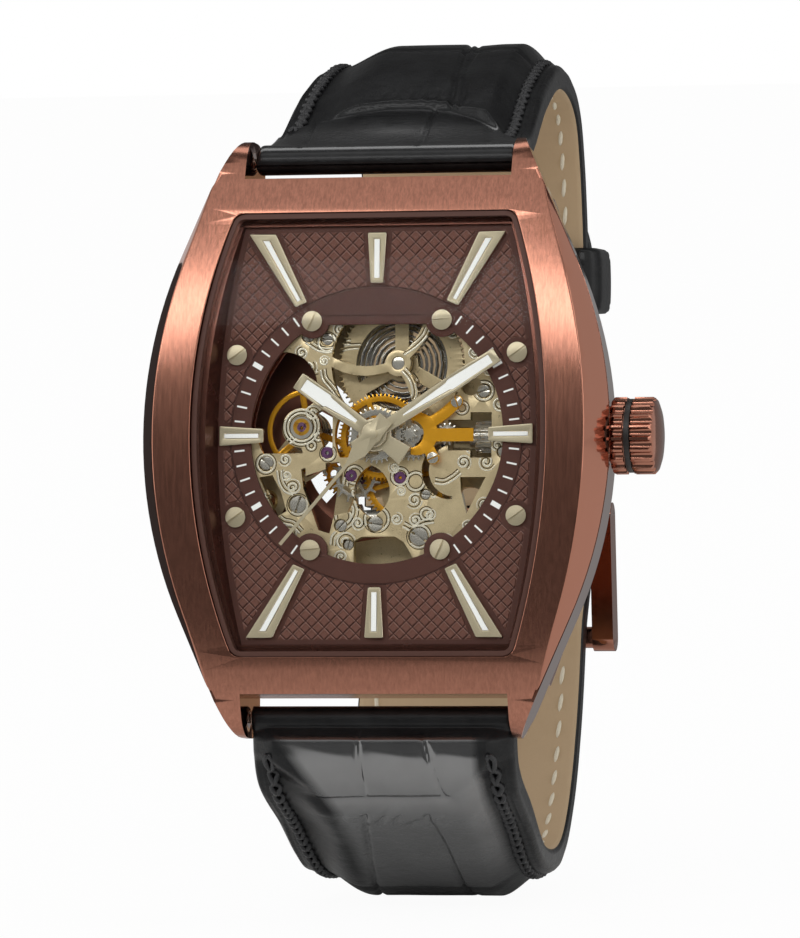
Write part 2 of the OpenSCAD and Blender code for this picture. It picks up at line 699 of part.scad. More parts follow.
module centre_hub() {
    circle(1.5);
    translate([-1.2, -2.6]) square([2.4, 2.6]);
    translate(minute_at) circle(0.6, $fn = 24);
    curved_arm([1.0, 0.2], minute_at, 0.9, 0.1);
    curved_arm(minute_at, [3.6, -3.0], 0.8, -0.2);
}

// Bridges behind the train, each standing on feet that reach the main plate
barrel_feet = [[-6.5, 10.3], [9.0, 8.2], [11.4, 3.9]];
train_feet = [[11.3, -4.7], [5.6, -10.8], [-5.6, -10.8]];
cock_foot = [-10.9, -5.4];
foot_r = 1.05;
module bridge_feet(places, back = bridge_front) {
    for (p = places) pin(p[0], p[1], back, plate_back, foot_r, 32);
}
ratchet_teeth = 52;
crown_wheel_teeth = 34;
crown_wheel_at = [7.0, 1.75];
m_wind = 2 * apart(barrel_at, crown_wheel_at) / (ratchet_teeth + crown_wheel_teeth);
pocket_h = bridge_h + 0.55;
module barrel_bridge() color(nickel) difference() {
    union() {
        slab(bridge_h, bridge_front) intersection() {
            circle(mov_r, $fn = 120);
            polygon([[-9.4, 14], [-8.2, 8.2], [-3.0, 3.4], [-1.4, 2.4], [2.8, 1.8], [6.0, -1.3], [14, -2.7], [14, 14]]);
        }
        bridge_feet(barrel_feet);
    }
    wheel_pockets();
    slab(bridge_h - over, bridge_front + over) translate(barrel_at) difference() {
        circle(3.7, $fn = 64);
        circle(1.45);
        spokes(3, 1.1, 4, 90);
    }
    pin(barrel_at[0], barrel_at[1], bridge_h - over, bridge_front + over, arbor_pivot_r + run, 32);
    pin(6.9, 8.2, bridge_h - over, bridge_front + over, 1.3, 32);
    keyless_room();
}
module wheel_pockets() {
    pin(barrel_at[0], barrel_at[1], bridge_h - over, pocket_h, m_wind * (ratchet_teeth / 2 + 1) + 0.12, 64);
    pin(crown_wheel_at[0], crown_wheel_at[1], bridge_h - over, pocket_h,
        m_wind * (crown_wheel_teeth / 2 + 1) + 0.12, 64);
}
// Room for the stem and its pinions in front of the bridges
module keyless_room() {
    cross_pin(stem_in - 0.6, mov_r + 1, -stem_h, 0, winding_r + 0.2);
}
stem_in = 6.6;
module train_bridge() color(nickel) difference() {
    union() {
        slab(bridge_h, bridge_front) intersection() {
            circle(mov_r, $fn = 120);
            polygon([[-1.8, 2.3], [2.7, 1.5], [5.7, -1.6], [14, -3.1], [14, -14], [-7.4, -14], [-5.0, -8.8],
                     [-4.3, -3.6], [-3.2, 0.2]]);
        }
        bridge_feet(train_feet);
    }
    slab(bridge_h - over, bridge_front + over) {
        polygon([[-2.9, -5.0], [-0.4, -5.1], [0.6, -8.6], [-3.0, -9.2], [-3.7, -7.0]]);
        translate([3.9, -8.7]) circle(1.9);
        translate([7.5, -6.2]) circle(1.9);
    }
    for (p = [third_at, escape_at])
        pin(p[0], p[1], bridge_h - over, bridge_front + over, jewel_r, 32);
    pin(0, 0, bridge_h - over, bridge_front + over, jewel_r, 32);
    wheel_pockets();
    keyless_room();
}
module balance_cock() color(nickel) difference() {
    union() {
        intersection() {
            slab(bridge_h, bridge_front - 0.15) {
                translate(balance_at) circle(1.7);
                translate(cock_foot) circle(foot_r + 0.75);
                curved_arm(balance_at, cock_foot, 2.2, -0.5);
            }
            pin(0, 0, 0, case_t, mov_r, 120);
        }
        bridge_feet([cock_foot], bridge_front - 0.2);
    }
    pin(balance_at[0], balance_at[1], bridge_h - over, bridge_front + over, shock_r + fit, 48);
}
pallet_foot = [-7.7, -3.9];
pallet_bridge_h = 5.42;
pallet_bridge_t = 0.26;
module pallet_bridge() color(nickel) difference() {
    union() {
        slab(pallet_bridge_h, pallet_bridge_h + pallet_bridge_t) {
            translate(fork_at) circle(0.6, $fn = 32);
            translate(pallet_foot) circle(0.7, $fn = 32);
            curved_arm(fork_at, pallet_foot, 0.7, 0.2);
        }
        pin(pallet_foot[0], pallet_foot[1], pallet_bridge_h, plate_back, 0.7, 32);
    }
    pin(fork_at[0], fork_at[1], pallet_bridge_h - over, plate_back, staff_r + run, 24);
}
// Gold yoke over the setting wheels: an arm along the stem, an open eye and two feet
yoke_h = 8.42;
yoke_feet = [[7.2, 2.9], [5.1, -2.05]];
module setting_yoke() color(gold) {
    slab(yoke_h, yoke_h + 0.18) difference() {
        union() {
            translate([4.2, -0.6]) square([4.5, 1.15]);
            translate(minute_at + [0.6, 0]) circle(1.9);
            curved_arm([4.4, 0.9], yoke_feet[0], 1.0, -0.2);
            curved_arm([4.3, -0.8], yoke_feet[1], 1.0, 0.1);
            for (p = yoke_feet) translate(p) circle(0.55, $fn = 32);
        }
        translate(minute_at) circle(1.25);
        translate([-2, -4]) square([minute_at[0] + 2.1, 8]);
        circle(2.75, $fn = 64);
    }
    for (p = yoke_feet) pin(p[0], p[1], plate_h, yoke_h, 0.45, 24);
}

// Barrel: toothed drum with windows over the coiled mainspring
drum_r = 4.95;
drum_back = bridge_front + 0.68;
module barrel_windows() difference() {
    circle(4.1, $fn = 64);
    circle(1.5);
    spokes(3, 1.25, 5, 90);
}
module barrel() color(nickel) difference() {
    union() {
        pin(barrel_at[0], barrel_at[1], drum_back, level_flange, drum_r, 96);
        slab(level_flange, level_flange + 0.25) translate(barrel_at)
            gear(barrel_teeth, m_barrel, toward(barrel_at, centre));
    }
    pin(barrel_at[0], barrel_at[1], drum_back + 0.15, level_flange, drum_r - 0.3, 96);
    slab(level_flange - over, level_flange + over) translate(barrel_at) barrel_windows();
    slab(drum_back - over, drum_back + 0.2) translate(barrel_at) barrel_windows();
    pin(barrel_at[0], barrel_at[1], 0, case_t, arbor_core_r + run, 48);
}
arbor_core_r = 1.0;
// Mainspring: a strip coiled inside the drum
spring_turns = 7;
module spiral(r0, r1, turns, strip, steps = 20) {
    n = turns * steps;
    line = [for (i = [0 : n]) let (r = r0 + (r1 - r0) * i / n, a = 360 * i / steps) [r * cos(a), r * sin(a), r, a]];
    polygon(concat([for (p = line) [(p[2] + strip / 2) * cos(p[3]), (p[2] + strip / 2) * sin(p[3])]],
                   [for (i = [n : -1 : 0]) let (p = line[i])
                       [(p[2] - strip / 2) * cos(p[3]), (p[2] - strip / 2) * sin(p[3])]]));
}
module mainspring() color([0.35, 0.36, 0.38])
    slab(drum_back + 0.25, level_flange - 0.05) translate(barrel_at)
        spiral(arbor_core_r + 0.2, drum_r - 0.45, spring_turns, 0.16);
module barrel_arbor() color(steel) {
    pin(barrel_at[0], barrel_at[1], drum_back + 0.03, level_flange + 0.2, arbor_core_r, 48);
    pin(barrel_at[0], barrel_at[1], pocket_h, drum_back + 0.03, arbor_pivot_r, 32);
    pin(barrel_at[0], barrel_at[1], level_flange + 0.2, plate_h - 0.1, arbor_pivot_r, 32);
}
module ratchet_wheel() color(steel) slab(bridge_h + 0.12, pocket_h - 0.05) translate(barrel_at) difference() {
    gear(ratchet_teeth, m_wind, toward(barrel_at, crown_wheel_at));
    difference() {
        circle(3.3, $fn = 64);
        circle(1.2);
        spokes(3, 0.8, 4, 90);
    }
    square(0.5, center = true);
}
module crown_wheel() color(steel) slab(bridge_h + 0.12, pocket_h - 0.05) translate(crown_wheel_at) difference() {
    gear(crown_wheel_teeth, m_wind, toward(crown_wheel_at, barrel_at) + 180 / crown_wheel_teeth);
    circle(0.9);
}
// Click: a small pawl beside the ratchet wheel
click_at = [-3.9, 8.3];
module click() color(steel) {
    slab(bridge_h - 0.22, bridge_h) difference() {
        union() {
            translate(click_at) circle(0.55, $fn = 32);
            polygon([click_at + [-0.3, 0.45], click_at + [0.4, -0.5], [-2.85, 7.1], [-2.95, 7.75]]);
        }
        translate(click_at) circle(0.25, $fn = 24);
    }
}
module centre_wheel() color(gold) difference() {
    union() {
        slab(level_centre, level_centre + wheel_t)
            wheel(centre_teeth, m_centre, 0.45, 1.0, 4, 0.45, toward(centre, third_at), 20);
        slab(level_flange - 0.1, level_centre)
            gear(centre_leaves, m_barrel, toward(centre, barrel_at) + 180 / centre_leaves, 0.8, 1.1);
        pin(0, 0, level_third + wheel_t + 0.2, minute_h - 0.1, centre_tube_r, 32);
    }
    pin(0, 0, 0, case_t, second_shaft_r + run, 24);
}
module third_wheel() color(gold) {
    slab(level_third, level_third + wheel_t) translate(third_at)
        wheel(third_teeth, m_third, 0.45, 0.75, 4, 0.4, toward(third_at, centre), 15);
    slab(level_centre - 0.15, level_centre + wheel_t + 0.05) translate(third_at)
        gear(third_leaves, m_centre, toward(third_at, centre) + 180 / third_leaves, 0.8, 1.05);
    pin(third_at[0], third_at[1], bridge_h + 0.3, plate_h - 0.3, staff_r, 24);
    pin(third_at[0], third_at[1], level_third + wheel_t, level_centre - 0.15, 0.3, 24);
}
module fourth_wheel() color(gold) {
    slab(level_fourth, level_fourth + wheel_t)
        wheel(fourth_teeth, m_fourth, 0.4, 0.7, 4, 0.4, toward(centre, escape_at), 40);
    slab(level_fourth + wheel_t, level_third + wheel_t + 0.1)
        gear(fourth_leaves, m_third, toward(centre, third_at) + 180 / fourth_leaves, 0.8, 1.05);
    pin(0, 0, bridge_h + 0.3, second_h + hand_t * 0.8, second_shaft_r, 24);
}
// Escape wheel: fifteen slanted teeth on a light rim
module escape_outline() {
    step = 360 / escape_teeth;
    polygon([for (i = [0 : escape_teeth - 1]) for (k = [[0, 0.78], [0.18, 1], [0.30, 1], [0.34, 0.78]])
        let (a = (i + k[0]) * step + escape_turn) [k[1] * escape_r * cos(a), k[1] * escape_r * sin(a)]]);
}
escape_turn = 6;
module escape_wheel() color(steel) {
    slab(level_escape, level_escape + 0.15) translate(escape_at) difference() {
        escape_outline();
        difference() {
            circle(escape_r * 0.64, $fn = 48);
            circle(0.45, $fn = 32);
            spokes(4, 0.28, 2, 30);
        }
    }
    slab(level_fourth - 0.1, level_fourth + wheel_t + 0.15) translate(escape_at)
        gear(escape_leaves, m_fourth, toward(escape_at, centre) + 180 / escape_leaves, 0.8, 1.05);
    pin(escape_at[0], escape_at[1], bridge_h + 0.3, plate_h - 0.3, staff_r, 24);
}
// Pallet fork: two arms with jewel pallets, and a lever that ends in horns at the balance roller
fork_lever = apart(fork_at, balance_at) - 0.95;
module pallet_fork() color(steel) {
    slab(level_escape, level_escape + 0.15) translate(fork_at) rotate(toward(fork_at, balance_at)) {
        circle(0.4, $fn = 32);
        translate([0, -0.14]) square([fork_lever - 0.35, 0.28]);
        for (s = [-1, 1]) {
            polygon([[fork_lever - 0.45, s * 0.02], [fork_lever - 0.1, s * 0.14], [fork_lever, s * 0.34],
                     [fork_lever + 0.12, s * 0.42], [fork_lever - 0.05, s * 0.5], [fork_lever - 0.5, s * 0.2]]);
            polygon([[0.25, 0], [0.1, s * 0.3], [-0.55, s * 1.75], [-1.05, s * 1.72], [-0.95, s * 1.5],
                     [-0.65, s * 1.42], [-0.3, s * 0.2]]);
        }
    }
    pin(fork_at[0], fork_at[1], pallet_bridge_h + 0.03, plate_h - 0.3, staff_r, 24);
}
module balance_wheel() color(gold) {
    slab(level_balance, level_balance + 0.32) translate(balance_at) difference() {
        circle(balance_r, $fn = 96);
        circle(balance_r - 0.42, $fn = 96);
    }
    slab(level_balance, level_balance + 0.16) translate(balance_at) {
        circle(0.75, $fn = 32);
        spokes(3, 0.55, balance_r - 0.3, 100);
    }
    pin(balance_at[0], balance_at[1], bridge_h + 0.45, plate_h - 0.5, staff_r, 24);
    // Roller with its impulse pin
    pin(balance_at[0], balance_at[1], level_escape - 0.3, level_escape - 0.12, 0.5, 32);
    pin(balance_at[0] + 0.38, balance_at[1], level_escape - 0.12, level_escape + 0.15, 0.07, 16);
}
hairspring_turns = 6;
module hairspring() color([0.55, 0.6, 0.68]) {
    slab(level_balance - 0.3, level_balance - 0.12) translate(balance_at) {
        spiral(0.42, 1.95, hairspring_turns, 0.07);
        difference() {
            circle(0.46, $fn = 32);
            circle(staff_r + run, $fn = 24);
        }
    }
    // Stud that ties the outer end to the cock
    pin(balance_at[0] + 1.95, balance_at[1], bridge_front - 0.15, level_balance - 0.12, 0.18, 24);
    slab(bridge_front - 0.15, bridge_front) translate(balance_at) translate([0.9, -0.2]) square([1.2, 0.4]);
}
cannon_leaves = 10;
minute_teeth = 30;
minute_leaves = 8;
hour_teeth = 32;
m_motion = 2 * apart(centre, minute_at) / (cannon_leaves + minute_teeth);
level_minute = plate_h + 0.25;
level_hour = level_minute + 0.4;
module cannon_pinion() color(steel) difference() {
    union() {
        slab(plate_h + 0.2, level_hour - 0.08)
            gear(cannon_leaves, m_motion, toward(centre, minute_at) + 180 / cannon_leaves, 0.8, 1.05);
        pin(0, 0, plate_h + 0.2, minute_h + hand_t + 0.04, cannon_r - 0.1, 32);
    }
    pin(0, 0, 0, case_t, centre_tube_r + 0.01, 32);
}
module minute_wheel() color(steel) {
    slab(level_minute, level_minute + wheel_t) translate(minute_at)
        wheel(minute_teeth, m_motion, 0.5, 1.0, 4, 0.5, toward(minute_at, centre), 10);
    slab(level_minute + wheel_t, level_hour + wheel_t + 0.05) translate(minute_at)
        gear(minute_leaves, m_motion, toward(minute_at, centre) + 180 / minute_leaves, 0.8, 1.05);
    pin(minute_at[0], minute_at[1], plate_back + 0.1, level_minute, staff_r, 24);
}
module hour_wheel() color(steel) difference() {
    union() {
        slab(level_hour, level_hour + wheel_t)
            wheel(hour_teeth, m_motion, 0.5, 1.3, 3, 0.6, toward(centre, minute_at), 50);
        pin(0, 0, level_hour, hour_h + hand_t + 0.05, pipe_r - 0.1, 48);
    }
    pin(0, 0, 0, case_t, cannon_r - 0.1 + run, 48);
}
setting_wheel_at = [6.3, 0.1];
setting_teeth = 12;
module setting_wheel() color(steel) {
    slab(level_minute, level_minute + wheel_t) translate(setting_wheel_at)
        gear(setting_teeth, m_motion, toward(setting_wheel_at, minute_at) + 180 / setting_teeth, 0.7);
    pin(setting_wheel_at[0], setting_wheel_at[1], level_minute + wheel_t, yoke_h, staff_r + 0.1, 24);
}
jewel_wall = 0.01;
module jewels() color([0.45, 0.12, 0.42]) {
    for (p = [third_at, escape_at, fork_at]) jewel(p, plate_h - 0.6, plate_h - 0.1);
    for (p = [third_at, escape_at, centre]) jewel(p, bridge_h + 0.2, bridge_front - 0.1);
}
module jewel(p, back, front) {
    hole = (p == centre ? second_shaft_r : staff_r) + run;
    slab(back, front) translate(p) difference() {
        circle(jewel_r - jewel_wall, $fn = 32);
        circle(hole, $fn = 24);
    }
}
// Shock settings at both ends of the balance staff: a ring, a jewel and a three-lobed spring
module shock_settings() color(gold) {
    for (s = [[plate_h - 0.55, plate_h + 0.1], [bridge_h - 0.1, bridge_front - 0.35]])
        slab(s[0], s[1]) translate(balance_at) difference() {
            circle(shock_r, $fn = 48);
            circle(0.72, $fn = 48);
        }
    slab(plate_h - 0.05, plate_h + 0.08) translate(balance_at) lyre();
    slab(bridge_h - 0.08, bridge_h + 0.05) translate(balance_at) lyre();
    for (s = [[plate_h - 0.5, plate_h - 0.1], [bridge_h + 0.3, bridge_h + 0.6]])
        slab(s[0], s[1]) translate(balance_at) difference() {
            circle(0.72, $fn = 32);
            circle(staff_r + run, $fn = 24);
        }
}
module lyre() difference() {
    circle(0.75, $fn = 32);
    for (a = [30, 150, 270]) rotate(a) translate([0.5, 0]) circle(0.22, $fn = 24);
    circle(0.2, $fn = 24);
}
module movement_screws() color(steel) {
    for (p = wells) slotted_screw(p[0], p[1], plate_h - 0.55, plate_h - 0.2, p[2] - 0.1, p[2] * 0.55, plate_back);
    for (p = yoke_feet) slotted_screw(p[0], p[1], yoke_h + 0.18, yoke_h + 0.34, 0.5, 0.2, yoke_h + 0.18);
}
// A screw whose slotted head lies between two heights, with its shank behind
module slotted_screw(x, z, head_back, head_front, head, shank, shank_back) {
    slab(head_back, head_front) translate([x, z]) difference() {
        circle(head, $fn = 32);
        rotate(40 * x) square([2 * head + 0.2, head * 0.25], center = true);
    }
    if (shank_back < head_back) pin(x, z, shank_back, head_back, shank, 24);
}

// Keyless work, along the stem's axis
crown_x = case_w / 2 - 0.25;
module winding_stem() color(steel) {
    cross_pin(stem_in, crown_x + 1.4, -stem_h, 0, stem_r, 32);
}
slide_in = stem_in + 1.3;
module pinion_along(x0, x1, teeth, r) {
    translate([x0, -stem_h, 0]) rotate([90, 0, 90]) linear_extrude(x1 - x0) gear(teeth, 2 * r / (teeth + 1.8));
}
module sliding_pinion() color(steel) difference() {
    union() {
        pinion_along(slide_in + 0.55, pinion_x + 0.25, 16, winding_r - 0.05);
        cross_pin(slide_in, slide_in + 0.6, -stem_h, 0, 0.9);
    }
    cross_pin(0, mov_r, -stem_h, 0, stem_r + run, 32);
}
module winding_pinion() color(steel) difference() {
    pinion_along(pinion_x + 0.3, pinion_x + 1.2, 18, winding_r);
    cross_pin(0, mov_r, -stem_h, 0, stem_r + run, 32);
}
// Crown: fluted knob with a ring groove, a dome, and a skirt over the case tube
groove_x = crown_x + 1.2;
groove_w = 0.7;
flute_r = 0.42;
module crown() color(brown_metal) difference() {
    translate([crown_x, -stem_h, 0]) rotate([0, 90, 0]) rotate_extrude($fn = 96) polygon(concat(
        [[stem_r, 0.9], [tube_r + 0.1, 0.9], [tube_r + 0.1, 0], [crown_r - 0.15, 0], [crown_r, 0.15],
         [crown_r, groove_x - crown_x], [crown_r - 0.45, groove_x - crown_x],
         [crown_r - 0.45, groove_x - crown_x + groove_w], [crown_r, groove_x - crown_x + groove_w],
         [crown_r, crown_l - 0.25], [crown_r - 0.25, crown_l]],
        // Dome, from its edge to the middle
        [for (i = [1 : 5]) let (r = (crown_r - 0.25) * (1 - i / 5)) [r, crown_l + dome_rise * (1 - pow(r / crown_r, 2))]],
        [[0, 1.4], [stem_r, 1.4]]));
    for (i = [0 : crown_flutes - 1]) rotate_about_stem(i * 360 / crown_flutes)
        cross_pin(crown_x - over, crown_x + crown_l + over, -stem_h, crown_r + 0.1, flute_r, 24);
}
dome_rise = 0.5;
module rotate_about_stem(a) translate([0, -stem_h, 0]) rotate([a, 0, 0]) translate([0, stem_h, 0]) children();
module crown_gasket() color([0.05, 0.05, 0.05]) difference() {
    cross_pin(groove_x + 0.1, groove_x + groove_w - 0.1, -stem_h, 0, crown_r - 0.15, 64);
    cross_pin(groove_x, groove_x + groove_w, -stem_h, 0, crown_r - 0.45, 64);
}

// Automatic winding: a heavy half ring on a thin plate, turning on a bearing on the bridges
rotor_bore = 0.9;
rotor_back = 2.3;
module rotor() color(brown_metal) difference() {
    union() {
        slab(rotor_back, rotor_back + 0.3) rotate(-rotor_dir) {
            half_disc(rotor_r, 0);
            circle(2.2, $fn = 48);
        }
        slab(rotor_back - 0.35, bridge_h - 0.3) rotate(-rotor_dir) half_disc(rotor_r, rotor_r - rotor_rim);
        slab(rotor_back + 0.3, rotor_back + 0.75) gear(rotor_teeth, m_rotor, toward(centre, reverse_at));
    }
    pin(0, 0, 0, 4, rotor_bore + run, 48);
    // Open windows between the hub and the heavy rim
    slab(rotor_back - over, rotor_back + 0.3 + 0.01) rotate(-rotor_dir) difference() {
        half_disc(rotor_r - rotor_rim - 0.7, 3.1);
        for (a = [-38, 38]) rotate(a) translate([-0.6, 0]) square([1.2, rotor_r]);
    }
}
// Half ring on the +Z side of the middle
module half_disc(r_out, r_in) intersection() {
    difference() {
        circle(r_out, $fn = 120);
        if (r_in > 0) circle(r_in, $fn = 96);
    }
    translate([-r_out, 0]) square([2 * r_out, r_out]);
}
rotor_teeth = 40;
reverse_teeth = 28;
reverse_at = [-3.9, -2.9];
m_rotor = 2 * apart(centre, reverse_at) / (rotor_teeth + reverse_teeth);
module rotor_bearing() color(steel) {
    pin(0, 0, rotor_back - 0.1, bridge_h, rotor_bore, 48);
    difference() {
        pin(0, 0, rotor_back - 0.4, rotor_back - 0.1, rotor_bore + 0.5, 48);
        for (a = [0, 90]) translate([0, -rotor_back + 0.4, 0]) rotate([0, a, 0]) cube([0.25, 0.3, 2], center = true);
    }
}
module reversing_wheel() color(gold) {
    slab(rotor_back + 0.4, rotor_back + 0.7) translate(reverse_at) difference() {
        gear(reverse_teeth, m_rotor, toward(reverse_at, centre) + 180 / reverse_teeth);
        for (a = [0 : 60 : 300]) rotate(a) translate([1.15, 0]) circle(0.33, $fn = 24);
    }
    pin(reverse_at[0], reverse_at[1], rotor_back + 0.7, bridge_h, 0.4, 24);
}
module movement_ring() color([0.2, 0.2, 0.2]) difference() {
    slab(back_t + 0.1, dial_back) difference() {
        tonneau(cavity_w - 2 * fit, cavity_l - 2 * fit, open_r, open_corner);
        circle(mov_r + fit, $fn = 120);
    }
    cross_pin(mov_r - 1, cavity_w, -stem_h, 0, stem_r + run, 32);
    for (x = [-1, 1]) for (z = [-1, 1])
        pin(x * outer_screw_x, z * outer_screw_z, dial_back - 0.5, dial_h, dial_screw_shank + fit, 24);
}

// Strap: the band's middle line is a smooth loop through places given every 20 steps, from the lower
// spring bar at -140 round behind the wrist to the upper one at 140. The tail shifts outward where it overlaps.
function smooth(u) = let (v = min(max(u, 0), 1)) v * v * (3 - 2 * v);
loop_places = [
    [-bar_h, -bar_z], [-0.6 * bar_h, -bar_z - 0.4 * loop_down], [0.124 * loop_d, -bar_z - 0.654 * loop_down],
    [0.387 * loop_d, -bar_z - 0.968 * loop_down], [0.68 * loop_d, -bar_z - 0.86 * loop_down],
    [0.884 * loop_d, -1.1 * bar_z], [0.983 * loop_d, -0.626 * bar_z], [loop_d, -0.08 * bar_z],
    [0.994 * loop_d, 0.445 * bar_z], [0.964 * loop_d, 0.95 * bar_z], [0.845 * loop_d, bar_z + 0.782 * loop_up],
    [0.566 * loop_d, bar_z + loop_up], [0.293 * loop_d, bar_z + 0.687 * loop_up],
    [0.072 * loop_d, bar_z + 0.213 * loop_up], [-bar_h, bar_z]];
function place(i) = i < 0 ? 2 * loop_places[0] - loop_places[1]
    : i > 14 ? 2 * loop_places[14] - loop_places[13] : loop_places[i];
function span(t) = min(floor((t + 140) / 20), 13);
function part(t) = (t + 140) / 20 - span(t);
function blend_of(i, c) = place(i - 1) * c[0] + place(i) * c[1] + place(i + 1) * c[2] + place(i + 2) * c[3];
function loop_mid(t) = let (u = part(t)) blend_of(span(t), [-u + 2 * u * u - u * u * u,
    2 - 5 * u * u + 3 * u * u * u, u + 4 * u * u - 3 * u * u * u, u * u * u - u * u] / 2);
function loop_run(t) = let (u = part(t), v = blend_of(span(t), [-1 + 4 * u - 3 * u * u,
    9 * u * u - 10 * u, 1 + 8 * u - 9 * u * u, 3 * u * u - 2 * u])) v / norm(v);
function loop_normal(t) = let (v = loop_run(t)) [v[1], -v[0]];
function loop_point(t, out) = loop_mid(t) + out * loop_normal(t);
lug_t = 140;
buckle_t0 = -3;
tail_end_t = 50;
layer_gap = 0.6;
function lower_shift(t) = (strap_t + layer_gap) * smooth((t - buckle_t0 + 17) / 13);
// Height of the padded middle above the band, fading away from the case and towards the spring bar
function pad(t) = pad_h * smooth((abs(t) - 50) / 24) * smooth((lug_t - 1 - abs(t)) / 14);
module across(w) translate([-w / 2, 0, 0]) rotate([90, 0, 90]) linear_extrude(w) children();
module strap_taper() {
    w0 = lug_x - 0.3;
    w1 = strap_end_w / 2;
    translate([0, 0, -60]) linear_extrude(120)
        polygon([[-w0, -9], [w0, -9], [w0, -2], [w1, 33], [w1, 42], [-w1, 42], [-w1, 33], [-w0, -2]]);
}
module upper_band(extra) polygon(concat(
    [for (t = [buckle_t0 + 1 : 4 : lug_t]) loop_point(t, strap_t / 2 + extra * pad(t))],
    [for (t = [lug_t : -4 : buckle_t0 + 1]) loop_point(t, -strap_t / 2)]));
module lower_band(extra) polygon(concat(
    [for (t = [-lug_t : 4 : tail_end_t]) loop_point(t, lower_shift(t) + strap_t / 2 + extra * pad(t))],
    [for (t = [tail_end_t : -4 : -lug_t]) loop_point(t, lower_shift(t) - strap_t / 2)]));
end_r = 1.6;
top_bar = [-bar_h, bar_z];
low_bar = [-bar_h, -bar_z];
buckle_axis = loop_point(buckle_t0, 0);
module upper_strap() color(leather) difference() {
    intersection() {
        union() {
            across(2 * lug_gap) upper_band(0);
            across(lug_gap - 2 * pad_border) upper_band(1);
            across(2 * lug_gap) translate(top_bar) circle(end_r);
            across(2 * lug_gap) translate(buckle_axis) circle(bar_r + 0.6);
        }
        strap_taper();
    }
    cross_pin(-lug_gap, lug_gap, top_bar[0], top_bar[1], bar_r + 0.1, 32);
    cross_pin(-lug_gap, lug_gap, buckle_axis[0], buckle_axis[1], bar_r + 0.1, 32);
    // Gap for the tongue at the buckle's bar
    translate([-tongue_w / 2 - 0.35, buckle_axis[0] - 5, buckle_axis[1] - 5]) cube([tongue_w + 0.7, 10, 7.5]);
}
module lower_strap() color(leather) difference() {
    intersection() {
        union() {
            across(2 * lug_gap) lower_band(0);
            across(lug_gap - 2 * pad_border) lower_band(1);
            across(2 * lug_gap) translate(low_bar) circle(end_r);
        }
        strap_taper();
        // Tail rounded at its end
        tail_outline();
    }
    cross_pin(-lug_gap, lug_gap, low_bar[0], low_bar[1], bar_r + 0.1, 32);
    // Hole that the tongue passes through
    translate([-tongue_w / 2 - 0.35, buckle_axis[0] - 4, buckle_axis[1] - 11.5]) cube([tongue_w + 0.7, 12, 11]);
}
tail_tip_z = loop_point(tail_end_t, strap_t)[1] - 0.4;
module tail_outline() union() {
    translate([-lug_gap, -60, -60]) cube([2 * lug_gap, 120, 60 + tail_tip_z - strap_end_w / 2]);
    translate([0, 60, tail_tip_z - strap_end_w / 2]) rotate([90, 0, 0]) cylinder(h = 120, r = strap_end_w / 2, $fn = 64);
    translate([-lug_gap, -60, -60]) cube([2 * lug_gap, 60, 120]);
}
module spring_bar(y, z, half) {
    cross_pin(-half + 0.1, half - 0.1, y, z, bar_r, 32);
    cross_pin(-half - 0.75, half + 0.75, y, z, pin_r, 24);
}
module lug_bars() color(steel) for (p = [top_bar, low_bar]) spring_bar(p[0], p[1], lug_x);
frame_in = strap_end_w / 2 + 0.5;
module buckle_bar() color(steel) spring_bar(buckle_axis[0], buckle_axis[1], frame_in);
tongue_w = 1.6;
tongue_t = 0.9;
outer_t = buckle_t0 - 16;
bar_out = loop_point(outer_t, strap_t / 2 + 0.35 + buckle_t / 2);
// A bar between two places with round ends, in the plane across the strap
module link(a, b, w) {
    translate(a) circle(w / 2, $fn = 32);
    translate(b) circle(w / 2, $fn = 32);
    polygon([for (s = [[a, 1], [b, 1], [b, -1], [a, -1]])
        s[0] + s[1] * w / 2 * [-(b - a)[1], (b - a)[0]] / norm(b - a)]);
}
module buckle_frame() color(brown_metal) difference() {
    union() {
        for (s = [-1, 1]) translate([s * (frame_in + buckle_t / 2), 0, 0])
            across(buckle_t) link(buckle_axis, bar_out, buckle_t + 0.6);
        cross_pin(-frame_in - 0.1, frame_in + 0.1, bar_out[0], bar_out[1], buckle_t / 2, 48);
    }
    cross_pin(-frame_in - 0.85, frame_in + 0.85, buckle_axis[0], buckle_axis[1], pin_r + fit, 24);
}
tongue_rest = bar_out + (buckle_t / 2 + tongue_t / 2 + 0.4) * loop_normal(outer_t - 4);
tongue_tip = tongue_rest + 1.3 * (tongue_rest - buckle_axis) / norm(tongue_rest - buckle_axis);
module buckle_tongue() color(brown_metal) difference() {
    union() {
        across(tongue_w) link(buckle_axis + 0.9 * (tongue_rest - buckle_axis) / norm(tongue_rest - buckle_axis),
            tongue_tip, tongue_t);
        across(tongue_w) translate(buckle_axis) circle(bar_r + 0.55, $fn = 32);
    }
    cross_pin(-lug_gap, lug_gap, buckle_axis[0], buckle_axis[1], bar_r + run, 32);
}
// A leather loop round both layers of the strap, square to the band at one angle of the loop
module keeper(t, room) {
    mid = loop_point(t, (strap_t + layer_gap) / 2);
    tall = 2 * strap_t + layer_gap + 2 * room;
    wide = strap_end_w + 2 * room;
    n = loop_normal(t);
    translate([0, mid[0], mid[1]]) rotate([atan2(n[1], n[0]), 0, 0]) difference() {
        cube([wide + 2 * keeper_t, tall + 2 * keeper_t, keeper_w], center = true);
        cube([wide, tall, keeper_w + 1], center = true);
    }
}
fixed_keeper_t = 10;
free_keeper_t = 31;
module fixed_keeper() color(leather) keeper(fixed_keeper_t, 0.3);
module free_keeper() color(leather) keeper(free_keeper_t, 0.38);

